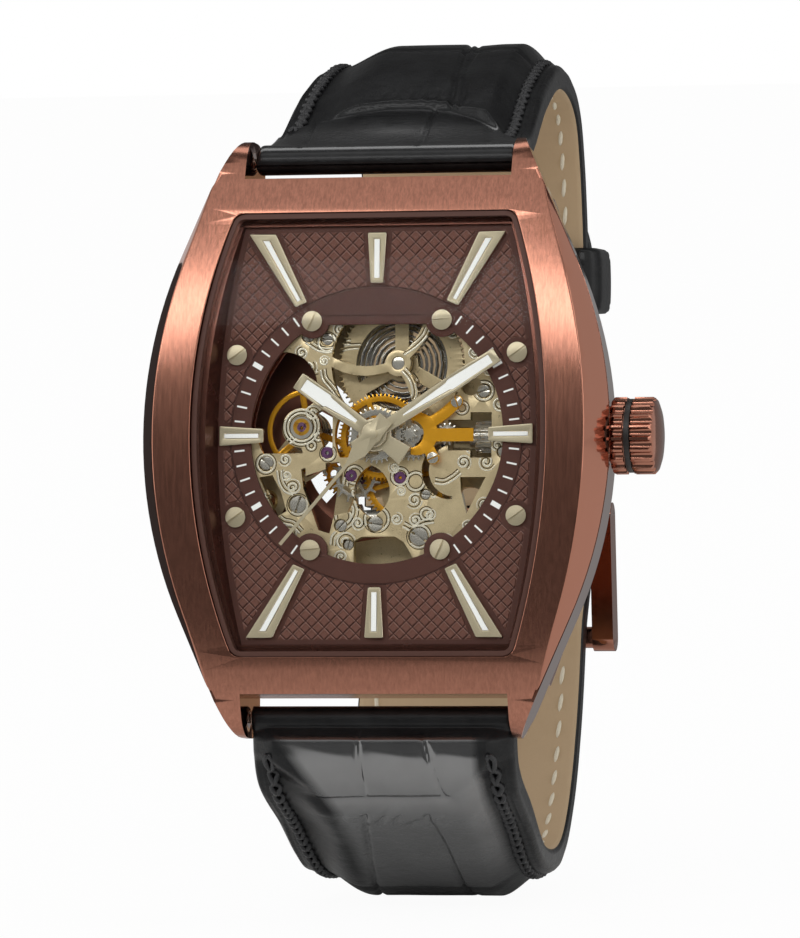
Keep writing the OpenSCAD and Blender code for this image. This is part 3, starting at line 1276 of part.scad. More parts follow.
case_body();
bezel();
crystal();
crystal_gasket();
rehaut();
dial();
hour_markers();
marker_lume();
dial_screws();
movement_ring();
main_plate();
barrel_bridge();
train_bridge();
balance_cock();
pallet_bridge();
setting_yoke();
barrel();
mainspring();
barrel_arbor();
ratchet_wheel();
crown_wheel();
click();
centre_wheel();
third_wheel();
fourth_wheel();
escape_wheel();
pallet_fork();
balance_wheel();
hairspring();
cannon_pinion();
minute_wheel();
hour_wheel();
setting_wheel();
jewels();
shock_settings();
movement_screws();
winding_stem();
sliding_pinion();
winding_pinion();
crown();
crown_gasket();
rotor();
rotor_bearing();
reversing_wheel();
case_back();
back_crystal();
back_screws();
hour_hand();
hour_lume();
minute_hand();
minute_lume();
seconds_hand();
upper_strap();
lower_strap();
lug_bars();
buckle_bar();
buckle_frame();
buckle_tongue();
fixed_keeper();
free_keeper();
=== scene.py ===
# %% [markdown]
# # Skeleton wristwatch with a barrel-shaped case
# The watch is already built as 60 exact solids, in metres: the dial looks along -Y, the crown is at +X and
# twelve o'clock is at +Z. This notebook dresses it. It loads the solids as a fixed frame, gives every one a
# finish, and makes the parts that a solid modeller is poor at: padded leather, stitching and fine engraving.

# %% Load the watch
import math

import bmesh
import bpy
import numpy as np
from mathutils import Matrix, Vector


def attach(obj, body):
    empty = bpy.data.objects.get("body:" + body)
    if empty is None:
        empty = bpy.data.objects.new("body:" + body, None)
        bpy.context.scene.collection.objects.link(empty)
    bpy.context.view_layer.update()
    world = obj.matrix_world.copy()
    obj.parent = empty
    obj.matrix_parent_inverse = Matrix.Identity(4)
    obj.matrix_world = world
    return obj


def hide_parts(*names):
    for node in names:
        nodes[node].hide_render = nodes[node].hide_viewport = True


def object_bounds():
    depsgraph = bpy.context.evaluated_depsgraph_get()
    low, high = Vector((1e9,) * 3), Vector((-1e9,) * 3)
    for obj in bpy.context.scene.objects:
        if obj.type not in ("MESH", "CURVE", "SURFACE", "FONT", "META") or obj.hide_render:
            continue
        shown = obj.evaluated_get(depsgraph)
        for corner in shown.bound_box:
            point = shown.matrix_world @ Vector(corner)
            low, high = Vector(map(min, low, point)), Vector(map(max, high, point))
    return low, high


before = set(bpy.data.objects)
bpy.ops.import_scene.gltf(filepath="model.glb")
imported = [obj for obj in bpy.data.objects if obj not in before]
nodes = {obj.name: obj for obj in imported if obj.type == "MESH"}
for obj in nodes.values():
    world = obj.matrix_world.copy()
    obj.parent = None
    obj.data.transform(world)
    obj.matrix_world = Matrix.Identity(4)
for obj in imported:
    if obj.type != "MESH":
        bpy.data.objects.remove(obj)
watch_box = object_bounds()
print("solids:", len(nodes), "box in mm:", [[round(v * 1000, 2) for v in corner] for corner in watch_box])

MM = 0.001
DIAL_H = 8.6  # the dial's front lies this far in front of the case back, in mm

# %% [markdown]
# ## Writing materials as plain maths
# A material in Blender is a net of nodes. Placing them one by one hides the idea behind it, so a small class
# wraps a socket and lets Python's own operators add the Math nodes: `1 - mask * 0.5` then reads as it works.
# Everything that is not maths comes from one method, `node`, which sets a node's choices and its sockets.

# %% Sockets that can be added and multiplied
class Wire:
    """The output of a node, in an expression."""

    def __init__(self, finish, socket):
        self.finish, self.socket = finish, socket

    def maths(self, operation, *others, clamp=False):
        values = dict(enumerate((self, *others)))
        return self.finish.node("Math", {"operation": operation, "use_clamp": clamp}, values)

    def __add__(self, other): return self.maths("ADD", other)
    def __radd__(self, other): return self.maths("ADD", other)
    def __sub__(self, other): return self.maths("SUBTRACT", other)
    def __rsub__(self, other): return self.finish.number("SUBTRACT", other, self)
    def __mul__(self, other): return self.maths("MULTIPLY", other)
    def __rmul__(self, other): return self.maths("MULTIPLY", other)
    def __abs__(self): return self.maths("ABSOLUTE")
    def __pow__(self, other): return self.maths("POWER", other)

    def fract(self): return self.maths("FRACT")
    def clamp(self): return self.maths("ADD", 0.0, clamp=True)
    def most(self, other): return self.maths("MAXIMUM", other)
    def root(self): return self.maths("SQRT")

    def ramp(self, low, high):
        """0 below low, 1 above high, and a straight line between; low may be the larger."""
        return ((self - low) * (1.0 / (high - low))).clamp()


class Finish:
    """A material that is built up from sockets."""

    def __init__(self, name):
        self.material = bpy.data.materials.new(name)
        self.material.use_nodes = True
        self.tree = self.material.node_tree
        self.tree.nodes.clear()
        self.output = self.tree.nodes.new("ShaderNodeOutputMaterial")

    def fill(self, socket, value):
        if isinstance(value, Wire):
            self.tree.links.new(value.socket, socket)
        elif isinstance(value, tuple) and len(value) == 3 and len(socket.default_value) == 4:
            socket.default_value = (*value, 1.0)
        else:
            socket.default_value = value

    def node(self, kind, settings=None, sockets=None, out=0):
        made = self.tree.nodes.new("ShaderNode" + kind)
        for key, value in (settings or {}).items():
            setattr(made, key, value)
        for key, value in (sockets or {}).items():
            self.fill(made.inputs[key], value)
        return Wire(self, made.outputs[out])

    def number(self, operation, *values):
        return self.node("Math", {"operation": operation}, dict(enumerate(values)))

    def mix(self, share, first, second):
        settings = {"data_type": "RGBA", "clamp_factor": True}
        return self.node("Mix", settings, {0: share, 6: first, 7: second}, out=2)

    def place(self, scale=(1.0, 1.0, 1.0)):
        """Object coordinates in millimetres, stretched if wanted."""
        sockets = {0: self.node("TexCoord", out=3), 1: tuple(s / MM for s in scale)}
        return self.node("VectorMath", {"operation": "MULTIPLY"}, sockets)

    def parts(self, vector):
        return tuple(self.node("SeparateXYZ", sockets={0: vector}, out=i) for i in range(3))

    def facing(self):
        """How squarely the surface faces along X, Y and Z, from 0 to 1."""
        return tuple(abs(part) for part in self.parts(self.node("NewGeometry", out=1)))

    def noise(self, vector, size, detail=2.0, rough=0.5):
        sockets = {"Vector": vector, "Scale": size, "Detail": detail, "Roughness": rough}
        return self.node("TexNoise", sockets=sockets)

    def bump(self, height, depth, strength=1.0):
        """A dent or a bulge of a depth in mm."""
        return self.node("Bump", sockets={"Height": height, "Distance": depth * MM, "Strength": strength})

    def surface(self, **values):
        """The shader itself; socket names are written with underscores."""
        sockets = {key.replace("_", " "): value for key, value in values.items()}
        shader = self.node("BsdfPrincipled", sockets=sockets)
        self.tree.links.new(shader.socket, self.output.inputs[0])
        return shader


def clouded(name, low, high, rough, noise, bump=None, **values):
    """A finish whose colour wanders between two tones. rough: lowest roughness and how much the noise adds;
    noise: its size, detail and roughness; bump: depth in mm and strength."""
    finish = Finish(name)
    size, detail, grain = noise
    cloud = finish.noise(finish.place(), size, detail, grain)
    if bump:
        values["Normal"] = finish.bump(cloud, *bump)
    base, more = rough
    roughness = base + cloud * more if more else base
    finish.surface(Base_Color=finish.mix(cloud, low, high), Roughness=roughness, **values)
    return finish


def dress(finish, *names):
    """Gives a finish to CAD nodes, or to pieces."""
    for name in names:
        piece = nodes[name] if isinstance(name, str) else name
        piece.data.materials.clear()
        piece.data.materials.append(finish.material)


print("a socket understands", ", ".join(name for name in vars(Wire) if not name.startswith("_")))

# %% [markdown]
# The other helper turns corners and faces into an object. The faces of a closed skin are turned outwards.

# %% Pieces from points
def new_piece(name, corners, faces, closed=True):
    """An object from corners in metres."""
    mesh = bpy.data.meshes.new(name)
    mesh.from_pydata(corners, [], faces)
    if closed:
        work = bmesh.new()
        work.from_mesh(mesh)
        bmesh.ops.recalc_face_normals(work, faces=work.faces)
        work.to_mesh(mesh)
        work.free()
    return add_object(name, mesh)


def add_object(name, data):
    piece = bpy.data.objects.new(name, data)
    bpy.context.scene.collection.objects.link(piece)
    return piece


def flat_sheet(name, wide, high):
    square = ((-0.5, -0.5), (0.5, -0.5), (0.5, 0.5), (-0.5, 0.5))
    return new_piece(name, [(x * wide, y * high, 0) for x, y in square], [(0, 1, 2, 3)], closed=False)


def smooth_shading(mesh):
    mesh.polygons.foreach_set("use_smooth", [True] * len(mesh.polygons))


print("solids to dress:", len(nodes))

# %% [markdown]
# ## The photograph's view
# The lens is long, so the watch shows almost no perspective. The picture shows more of the case's right flank
# than of its left, and a little of its underside: the camera stands 12 degrees round towards the crown and
# 4.5 degrees below. The camera is built from those angles, from its distance and from the scale at the dial.

# %% Camera
TURN, RISE, LEAN = math.radians(12), math.radians(-4.5), math.radians(0.5)
DISTANCE = 650 * MM
PIXELS_PER_MM, PICTURE_HEIGHT = 11.37, 938
SENSOR, AIM_RIGHT, AIM_DOWN = 36, 2.11, 2.96  # in mm; the aim is off the dial's middle
back = Vector((math.sin(TURN) * math.cos(RISE), -math.cos(TURN) * math.cos(RISE), math.sin(RISE)))
right = Vector((math.cos(TURN), math.sin(TURN), 0))
upward = back.cross(right)
aim = Vector((0, -DIAL_H * MM, 0)) + right * AIM_RIGHT * MM - upward * AIM_DOWN * MM

lens = bpy.data.cameras.new("watch camera")
lens.lens = PIXELS_PER_MM * DISTANCE / MM * SENSOR / PICTURE_HEIGHT
lens.clip_start, lens.clip_end = 0.01, 20
camera = add_object("watch camera", lens)
camera.location = aim + back * DISTANCE
level = right * math.cos(LEAN) + upward * math.sin(LEAN)
camera.rotation_euler = Matrix((level, back.cross(level), back)).transposed().to_euler()
bpy.context.scene.camera = camera
bpy.context.scene.view_settings.view_transform = "Standard"
print("lens in mm:", round(lens.lens, 1), "camera at", [round(v, 3) for v in camera.location])

# %% [markdown]
# ## Light for polished metal
# Metal has no look of its own: it shows what stands round it. The studio is white to the camera and pale to
# reflections, with a wide soft lamp in front and above, and one at each side. The case's face is curved from
# twelve to six o'clock, so it mirrors the room from top to bottom: pale, then the lamp as a bright band, then
# a dark card where a photographer's camera would stand, and the white floor at the lugs. Two side flags keep
# the flanks dark, a dark ceiling does the same for the top of the strap, and a narrow strip of light under
# it draws the shine on the strap's fold. All of these are seen by reflections only.

# %% World, cards and lamps
world = bpy.data.worlds.new("studio")
bpy.context.scene.world = world
world.use_nodes = True
room = world.node_tree
room.nodes.clear()
sky = room.nodes.new("ShaderNodeBackground")
sky.inputs["Color"].default_value = (1, 1, 1, 1)
rays = room.nodes.new("ShaderNodeLightPath")
room_out = room.nodes.new("ShaderNodeOutputWorld")
room.links.new(sky.outputs[0], room_out.inputs[0])
ROOM_GLOW = 0.70  # for everything but the camera, which sees 1.0
strength = room.nodes.new("ShaderNodeMath")
strength.operation = "MULTIPLY_ADD"
room.links.new(rays.outputs["Is Camera Ray"], strength.inputs[0])
strength.inputs[1].default_value = 1.0 - ROOM_GLOW
strength.inputs[2].default_value = ROOM_GLOW
room.links.new(strength.outputs[0], sky.inputs["Strength"])


def card(name, wide, high, centre, facing, glow):
    """A flat stage piece that only reflections see; glow is its brightness."""
    piece = flat_sheet(name, wide, high)
    piece.location = centre
    piece.rotation_euler = Vector(facing).to_track_quat("Z", "Y").to_euler()
    finish = Finish(name)
    light = finish.node("Emission", sockets={"Color": (glow, glow, glow), "Strength": 1.0})
    finish.tree.links.new(light.socket, finish.output.inputs[0])
    piece.data.materials.append(finish.material)
    piece.visible_camera = False
    piece.visible_diffuse = piece.visible_shadow = piece.visible_transmission = False


card("dark card", 0.150, 0.0736, (-0.019, -0.065, -0.0114), (0, 1, 0), 0.14)
card("black edge of the card", 0.150, 0.0040, (-0.019, -0.0648, -0.0500), (0, 1, 0), 0.01)
card("left flag", 0.090, 0.055, (-0.046, 0.041, 0.0), (1, 0, 0), 0.05)
card("right flag", 0.110, 0.110, (0.020, 0.060, 0.0), (0, -1, 0), 0.24)
card("light over the strap", 0.300, 0.040, (0.0, 0.004, 0.1195), (0, 0, -1), 1.70)
card("dark ceiling", 0.300, 0.310, (0.0, 0.095, 0.120), (0, 0, -1), 0.10)


def lamp(name, watts, wide, high, direction, distance):
    """A soft lamp that faces the watch from an azimuth and an elevation in degrees."""
    light = bpy.data.lights.new(name, "AREA")
    light.shape, light.size, light.size_y, light.energy = "RECTANGLE", wide, high, watts
    piece = add_object(name, light)
    a, e = (math.radians(v) for v in direction)
    way = Vector((math.sin(a) * math.cos(e), -math.cos(a) * math.cos(e), math.sin(e)))
    piece.location = way * distance
    piece.rotation_euler = way.to_track_quat("Z", "Y").to_euler()


lamp("front lamp", 5.6, 1.9, 0.19, (-12, 23.5), 1.25)
lamp("left lamp", 1.4, 0.5, 0.9, (-75, 10), 1.2)
lamp("right lamp", 1.6, 0.5, 0.9, (80, 15), 1.2)
print("lamps:", [light.name for light in bpy.data.lights])

# %% [markdown]
# The floor is a plain pale sheet under the strap. The camera looks up at the watch a little, so the sheet
# tips forward to stay below its line of sight. It keeps the shadow, and shows almost white to the camera.

# %% Floor
FLOOR_SIZE, FLOOR_TIP, FLOOR_GAP = 6, math.radians(9), 0.0005
CAMERA_WHITE = 0.955  # the share of plain white that the camera sees
floor = flat_sheet("floor", FLOOR_SIZE, FLOOR_SIZE)
floor.location = (0, 0.018, watch_box[0][2] - FLOOR_GAP)
floor.rotation_euler = (FLOOR_TIP, 0, 0)
paper = Finish("pale floor")
grain = paper.noise(paper.place(), 0.05, 3.0)
sheet = paper.surface(Base_Color=paper.mix(grain, (0.86, 0.86, 0.85), (0.9, 0.9, 0.89)), Roughness=0.9)
white = paper.node("Emission", sockets={"Color": (1.0, 1.0, 1.0), "Strength": 1.0})
looked_at = paper.node("LightPath", out=0)
both = paper.node("MixShader", sockets={0: looked_at * CAMERA_WHITE, 1: sheet, 2: white})
paper.tree.links.new(both.socket, paper.output.inputs[0])
floor.data.materials.append(paper.material)
print("floor at", round(floor.location.z * 1000, 2), "mm")

# %% [markdown]
# ## Brown plated metal
# The case is steel with a brown plating. Its face is brushed lengthwise, and the bevels along the flanks are
# polished. Brushing is thousands of fine scratches, so a noise is stretched along the case until it is
# streaks, and it drives both the roughness and a shallow bump. One material does both finishes: it looks at
# which way the surface faces, and turns the brushing off where the surface turns away to the side.

# %% Smooth shading and softened edges
SHARP, CRISP = math.radians(28), math.radians(50)


def machined(name, edge, leave=None):
    """Smooth faces between crisp edges, and a bevel of edge mm where light can catch. leave(a, b) is true
    for an edge that stays sharp, from its ends in mm."""
    mesh = nodes[name].data
    smooth_shading(mesh)
    modifiers = nodes[name].modifiers
    modifiers.new("joined faces", "WELD").merge_threshold = 2e-6
    if edge:
        soft = modifiers.new("broken edge", "BEVEL")
        soft.width, soft.segments, soft.angle_limit = edge * MM, 2, SHARP
        soft.limit_method = "WEIGHT" if leave else "ANGLE"
        soft.use_clamp_overlap = True
        if leave:
            weigh_edges(mesh, leave)
    modifiers.new("crisp edges", "EDGE_SPLIT").split_angle = CRISP
    modifiers.new("even shading", "WEIGHTED_NORMAL").keep_sharp = True


def weigh_edges(mesh, leave):
    """Marks the sharp edges for the bevel. Faces meet where their corners share a place, in thousandths of
    a mm."""
    places = [tuple(round(c * 1e6) for c in v.co) for v in mesh.vertices]
    normals = {}
    for face in mesh.polygons:
        for a, b in face.edge_keys:
            normals.setdefault(frozenset((places[a], places[b])), []).append(face.normal.copy())
    weights = []
    for edge in mesh.edges:
        a, b = (places[v] for v in edge.vertices)
        met = normals.get(frozenset((a, b)), [])
        sharp = len(met) == 2 and met[0].angle(met[1], 0) > SHARP
        left = sharp and leave([c / 1000 for c in a], [c / 1000 for c in b])
        weights.append(1.0 if sharp and not left else 0.0)
    mesh.attributes.new("bevel_weight_edge", "FLOAT", "EDGE").data.foreach_set("value", weights)


def across_lug(a, b):
    """The bezel runs out to nothing across the lugs; that seam stays closed."""
    near_seam = abs(abs(a[2]) - 22.5) < 0.5 and abs(abs(b[2]) - 22.5) < 0.5
    return near_seam and abs(a[0] - b[0]) > abs(a[1] - b[1])


def screw_rim(a, b):
    """The rims of the small screw holes are the case back's only short edges."""
    return math.dist(a, b) < 0.4


def darker(colour, share):
    return tuple(min(1, c * share) for c in colour)


BROWN = (0.43, 0.19, 0.13)
case_finish = Finish("brown plating, brushed and polished")
side = case_finish.facing()[0]
brushed = side.ramp(0.42, 0.30)
brush = case_finish.noise(case_finish.place((7.0, 7.0, 0.02)), 1.0, 4.0, 0.65)
fine = case_finish.noise(case_finish.place((4.5, 4.5, 0.30)), 1.0, 3.0, 0.7)
shade = (brush.ramp(0.36, 0.64) * 0.4 + fine.ramp(0.36, 0.64) * 0.6) * brushed + (1.0 - brushed) * 0.6
case_finish.surface(
    Base_Color=case_finish.mix(shade, darker(BROWN, 0.78), darker(BROWN, 1.14)),
    Metallic=1.0,
    Roughness=0.06 + brushed * (0.14 + fine * 0.06),
    Normal=case_finish.bump((brush * 0.5 + fine * 0.5) * brushed, 0.0011, 0.5),
)
dress(case_finish, "case_body", "bezel")
polished_brown = clouded("brown plating, polished", darker(BROWN, 0.92), BROWN, (0.10, 0.10), (1.4, 5.0, 0.5),
                         Metallic=1.0)
dress(polished_brown, "crown", "buckle_frame", "buckle_tongue", "case_back")
for name, edge, leave in (("case_body", 0.14, across_lug), ("bezel", 0.14, across_lug), ("crown", 0.05, None),
                          ("buckle_frame", 0.25, None), ("buckle_tongue", 0.15, None),
                          ("case_back", 0.15, screw_rim)):
    machined(name, edge, leave)
print("bevelled edges of the bezel:", sum(
    item.value > 0 for item in nodes["bezel"].data.attributes["bevel_weight_edge"].data))

# %% [markdown]
# The flange between the crystal and the dial is satin, darker than the case, and mirrors the dial's edge.

# %% Flange
dress(clouded("dark brown flange", (0.13, 0.05, 0.035), (0.17, 0.068, 0.048), (0.22, 0.08), (0.8, 3.0, 0.5),
              Metallic=0.85), "rehaut")
machined("rehaut", 0.05)
print("flange faces:", len(nodes["rehaut"].data.polygons))

# %% [markdown]
# ## Steel, gilt and nickel
# The movement shows three more metals. Steel is grey and polished, the yoke and wheels are gilt, and the
# plates are nickel with a warm tone. Each gets its own scale of polish marks.

# %% Plain metals of the movement
def plain_metal(name, colour, rough, size=6.0, depth=0.002, shade=0.85, metal=1.0):
    return clouded(name, darker(colour, shade), colour, (rough - 0.06, 0.12), (size, 4.0, 0.6), (depth, 0.6),
                   Metallic=metal)


STEEL_PARTS = ("barrel_arbor", "ratchet_wheel", "crown_wheel", "click", "pallet_fork", "escape_wheel",
               "cannon_pinion", "minute_wheel", "hour_wheel", "setting_wheel", "movement_screws",
               "winding_stem", "sliding_pinion", "winding_pinion", "rotor_bearing", "back_screws",
               "lug_bars", "buckle_bar")
GILT_PARTS = ("setting_yoke", "centre_wheel", "third_wheel", "fourth_wheel", "balance_wheel",
              "reversing_wheel")
SPRINGS = ("mainspring", "hairspring")

satin = Finish("satin steel of hands and markers")
grain_of = satin.noise(satin.place(), 9.0, 3.0)
level = satin.facing()[1].ramp(0.80, 0.93)
top_tone = satin.mix(grain_of, (0.50, 0.43, 0.285), (0.58, 0.50, 0.34))
satin.surface(Base_Color=satin.mix(level, (0.90, 0.80, 0.62), top_tone), Metallic=1.0 - level * 0.5,
              Roughness=0.14 + level * (0.16 + grain_of * 0.06))
dress(satin, "dial_screws", "hour_markers", "hour_hand", "minute_hand", "seconds_hand")
dress(plain_metal("polished steel", (0.74, 0.70, 0.61), 0.16, metal=0.75), *STEEL_PARTS)
dress(plain_metal("gilt brass", (0.95, 0.45, 0.022), 0.22, metal=0.55), *GILT_PARTS)
dress(plain_metal("grey spring steel", (0.40, 0.38, 0.34), 0.24), *SPRINGS)
for name, edge in (("hour_markers", 0.17), ("hour_hand", 0.10), ("minute_hand", 0.10)):
    machined(name, edge)
for name in ("dial_screws", "seconds_hand", "shock_settings", *STEEL_PARTS, *GILT_PARTS, *SPRINGS):
    machined(name, 0.02)
print("metal parts of the movement:", len(STEEL_PARTS + GILT_PARTS + SPRINGS))

# %% Shock settings: a jewel in a gilt ring in a steel cap
STAFF_X, STAFF_Z = -6.9, 0.83
shock = Finish("shock setting")
sx, _, sz = shock.parts(shock.place())
from_staff = ((sx - STAFF_X) ** 2 + (sz - STAFF_Z) ** 2).root()
on_jewel = from_staff.ramp(0.46, 0.40)
dust = shock.noise(shock.place(), 6.0, 3.0)
cap = shock.mix(from_staff.ramp(0.72, 0.78), (0.95, 0.48, 0.03), (0.72, 0.68, 0.58))
cap = shock.mix(on_jewel, cap, (0.10, 0.03, 0.11))
shock.surface(
    Base_Color=shock.mix(dust * 0.3, cap, (0.3, 0.25, 0.18)),
    Metallic=from_staff.ramp(0.40, 0.46) * 0.7,
    Roughness=0.12 + dust * 0.08,
    Coat_Weight=on_jewel * 0.8,
)
dress(shock, "shock_settings")

# %% Rotor, rings, rubber, jewels, lume and glass
dress(plain_metal("brown rotor", (0.30, 0.13, 0.09), 0.32, 3.0), "rotor")
dress(clouded("dark spacer", (0.030, 0.026, 0.024), (0.05, 0.044, 0.04), (0.5, 0.2), (5.0, 4.0, 0.5)),
      "movement_ring")
dress(clouded("black rubber", (0.012, 0.010, 0.009), (0.022, 0.018, 0.016), (0.35, 0.15), (9.0, 3.0, 0.5),
              (0.01, 0.5)), "crown_gasket")
dress(clouded("brown crystal gasket", (0.070, 0.030, 0.022), (0.095, 0.042, 0.031), (0.45, 0.15),
              (4.0, 3.0, 0.5), Specular_IOR_Level=0.25), "crystal_gasket")
dress(clouded("purple jewel", (0.07, 0.025, 0.07), (0.15, 0.06, 0.15), (0.05, 0.04), (3.0, 2.0, 0.5),
              Coat_Weight=0.6), "jewels")
dress(clouded("white lume", (0.90, 0.90, 0.86), (0.98, 0.98, 0.95), (0.6, 0.0), (14.0, 3.0, 0.7),
              (0.01, 0.5)), "marker_lume", "hour_lume", "minute_lume")
machined("rotor", 0.05)
for name in ("movement_ring", "crystal_gasket", "crown_gasket", "jewels"):
    machined(name, 0.03)

glass = Finish("sapphire glass")
clear = glass.node("BsdfTransparent", sockets={"Color": (0.985, 0.99, 0.99)})
smear = glass.noise(glass.place(), 0.12, 2.0)
mirror = {"Base Color": (0.9, 0.92, 0.92), "Metallic": 1.0, "Roughness": 0.02}
gleam = glass.node("BsdfPrincipled", sockets=mirror)
edge_on = glass.node("LayerWeight", sockets={"Blend": 0.12}, out=0)
pane = glass.node("MixShader", sockets={0: (edge_on * 0.35 + smear * 0.0006).clamp(), 1: clear, 2: gleam})
glass.tree.links.new(pane.socket, glass.output.inputs[0])
dress(glass, "crystal", "back_crystal")
for name in ("crystal", "back_crystal"):
    machined(name, 0)
    nodes[name].visible_shadow = False
print("finished nodes:", sum(1 for piece in nodes.values() if piece.data.materials))

# %% [markdown]
# ## The dial
# The dial is a brown plate pressed with a waffle: small raised squares that stand on their corners, 0.8 mm
# apart, with grooves between. The waffle stops short of every marker, screw and border, and a plain ring
# round the opening carries white ticks. All of that is a drawing in millimetres, so the material measures
# distances on the dial and turns them into colour: painted shade on one side of each square and its groove,
# painted highlight on the other, and ticks only at the ring's sides. The squares themselves are real: low
# blunt pyramids.

# %% Dial
PITCH = 0.80
RIM = 0.38  # plain metal round every marker
SCREWS = ((12.6, 7.18), (5.84, 10.12))  # in one quarter of the dial
SCREW_RIM = 1.38
SIDE_CENTRE, SIDE_RADIUS = 59.7, 73.47  # the long sides of the waffle are arcs
TOP_EDGE, OPENING = 17.98, 13.16


def marker_strips(ax, az):
    """Across, along, half width, start and end of the upright, the sideways and the slanted markers, in mm,
    in one quarter of the dial. It takes numbers or sockets."""
    along = (ax - 6.8) * 0.491 + (az - 11.55) * 0.871
    across = (ax - 6.8) * 0.871 - (az - 11.55) * 0.491
    return ((ax, az, 0.6 + (az - 13.4) * 0.062, 13.4, 17.9), (az, ax, 0.6 + (ax - 10.1) * 0.07, 10.1, 14.1),
            (across, along, 0.62 + along * 0.066, 0.0, 7.25))


dial_finish = Finish("brown dial, waffle pressed")
x, _, z = dial_finish.parts(dial_finish.place())
ax, az = abs(x), abs(z)
radius = (x * x + z * z).root()
u = ((x + z) * (math.sqrt(0.5) / PITCH) + 100.0).fract() - 0.5
v = ((x - z) * (math.sqrt(0.5) / PITCH) + 100.0).fract() - 0.5
# Painted shade on one side of every square and its groove, and a painted highlight on the other side
painted_shade_side = u.ramp(-0.34, -0.42).most(v.ramp(0.34, 0.42))
painted_highlight_side = (u.ramp(0.35, 0.42).most(v.ramp(-0.36, -0.42) * 0.6) * (1.0 - painted_shade_side))

screws = dial_finish.number("SUBTRACT", 0.0, 0.0)
for place_x, place_z in SCREWS:
    away = ((ax - place_x) ** 2 + (az - place_z) ** 2).root()
    screws = screws.most(away.ramp(SCREW_RIM + 0.04, SCREW_RIM - 0.06))
side_arc = ((ax + SIDE_CENTRE) ** 2 + z * z).root()
plain = screws.most(side_arc.ramp(SIDE_RADIUS - 0.02, SIDE_RADIUS + 0.08))
plain = plain.most(az.ramp(TOP_EDGE - 0.03, TOP_EDGE + 0.07)).most(radius.ramp(OPENING, OPENING - 0.06))
for across, along, half, low, high in marker_strips(ax, az):
    outside = (abs(across) - half).most(along - high).most(low - along)
    plain = plain.most(outside.ramp(RIM + 0.08, RIM))
waffle = 1.0 - plain
ring_line = abs(radius - OPENING + 0.01).ramp(0.09, 0.05) * (1.0 - screws)

clock = dial_finish.node("Math", {"operation": "ARCTAN2"}, {0: x, 1: z}) * (60 / (2 * math.pi))
minute = abs((clock + 100.5).fract() - 0.5) * radius * (2 * math.pi / 60)
hour = abs((clock * 0.2 + 100.5).fract() - 0.5) * radius * (2 * math.pi / 12)
TRACK = 12.42  # radius of the ticks' middle
in_track = abs(radius - TRACK).ramp(0.48, 0.44)
at_sides = ax.ramp(6.55, 6.65)
ticks = in_track * at_sides * minute.ramp(0.095, 0.065)
hour_ticks = in_track * at_sides * hour.ramp(0.235, 0.205) * az.ramp(2.0, 2.2)
white_paint = ticks.most(hour_ticks)

cloud = dial_finish.noise(dial_finish.place(), 0.5, 3.0)
grit = dial_finish.noise(dial_finish.place(), 9.0, 3.0, 0.6)
flat_brown = dial_finish.mix(cloud, (0.078, 0.029, 0.020), (0.098, 0.037, 0.026))
# The dark colour of the painted shade; the light colour of the painted highlight is given below
painted_shade_colour = (0.030, 0.010, 0.008)
square_colour = dial_finish.mix(grit, (0.135, 0.056, 0.040), (0.18, 0.076, 0.054))
pressed = dial_finish.mix(painted_shade_side * 0.8, square_colour, painted_shade_colour)
pressed = dial_finish.mix(painted_highlight_side * 0.55, pressed, (0.36, 0.21, 0.17))
brown = dial_finish.mix(waffle, flat_brown, pressed)
brown = dial_finish.mix(ring_line * 0.6, brown, (0.03, 0.011, 0.009))
dial_finish.surface(
    Base_Color=dial_finish.mix(white_paint, brown, (0.96, 0.96, 0.92)),
    Metallic=0.15 * (1.0 - white_paint),
    Specular_IOR_Level=0.25,
    Roughness=0.42 + grit * 0.1,
    Normal=dial_finish.bump(white_paint * 0.3 - ring_line * 0.5, 0.11),
)
dress(dial_finish, "dial")
machined("dial", 0.04)
print("nodes in the dial's material:", len(dial_finish.tree.nodes))

# %% [markdown]
# Every square is cut to the plain borders first. A border is a function that is positive where the waffle may
# be, in mm, and over one small square it is nearly straight, so cutting by its slope is enough.

# %% Waffle squares
def waffle_borders(x, z):
    """Distances in mm to every border of the waffle, positive on the waffle's side."""
    ax, az = abs(x), abs(z)
    strips = [max(abs(across) - half, along - high, low - along) - RIM
              for across, along, half, low, high in marker_strips(ax, az)]
    screws = [math.dist((ax, az), spot) - SCREW_RIM for spot in SCREWS]
    return (*strips, *screws, SIDE_RADIUS - math.hypot(ax + SIDE_CENTRE, z), TOP_EDGE - az,
            math.hypot(x, z) - OPENING)


def trimmed(square, centre):
    """Cuts a convex outline by every border that comes near it."""
    step = 0.01
    here = waffle_borders(*centre)
    east = waffle_borders(centre[0] + step, centre[1])
    north = waffle_borders(centre[0], centre[1] + step)
    for level, dx, dz in zip(here, east, north):
        if level < -0.6:
            return []
        if level > 0.6 or not square:
            continue
        slope_x, slope_z = (dx - level) / step, (dz - level) / step
        far = [level + slope_x * (x - centre[0]) + slope_z * (z - centre[1]) for x, z in square]
        kept = []
        for k, spot in enumerate(square):
            other, a, b = square[k - 1], far[k - 1], far[k]
            if (a > 0) != (b > 0):
                kept.append(tuple(o + (s - o) * a / (a - b) for o, s in zip(other, spot)))
            if b > 0:
                kept.append(spot)
        square = kept
    return square


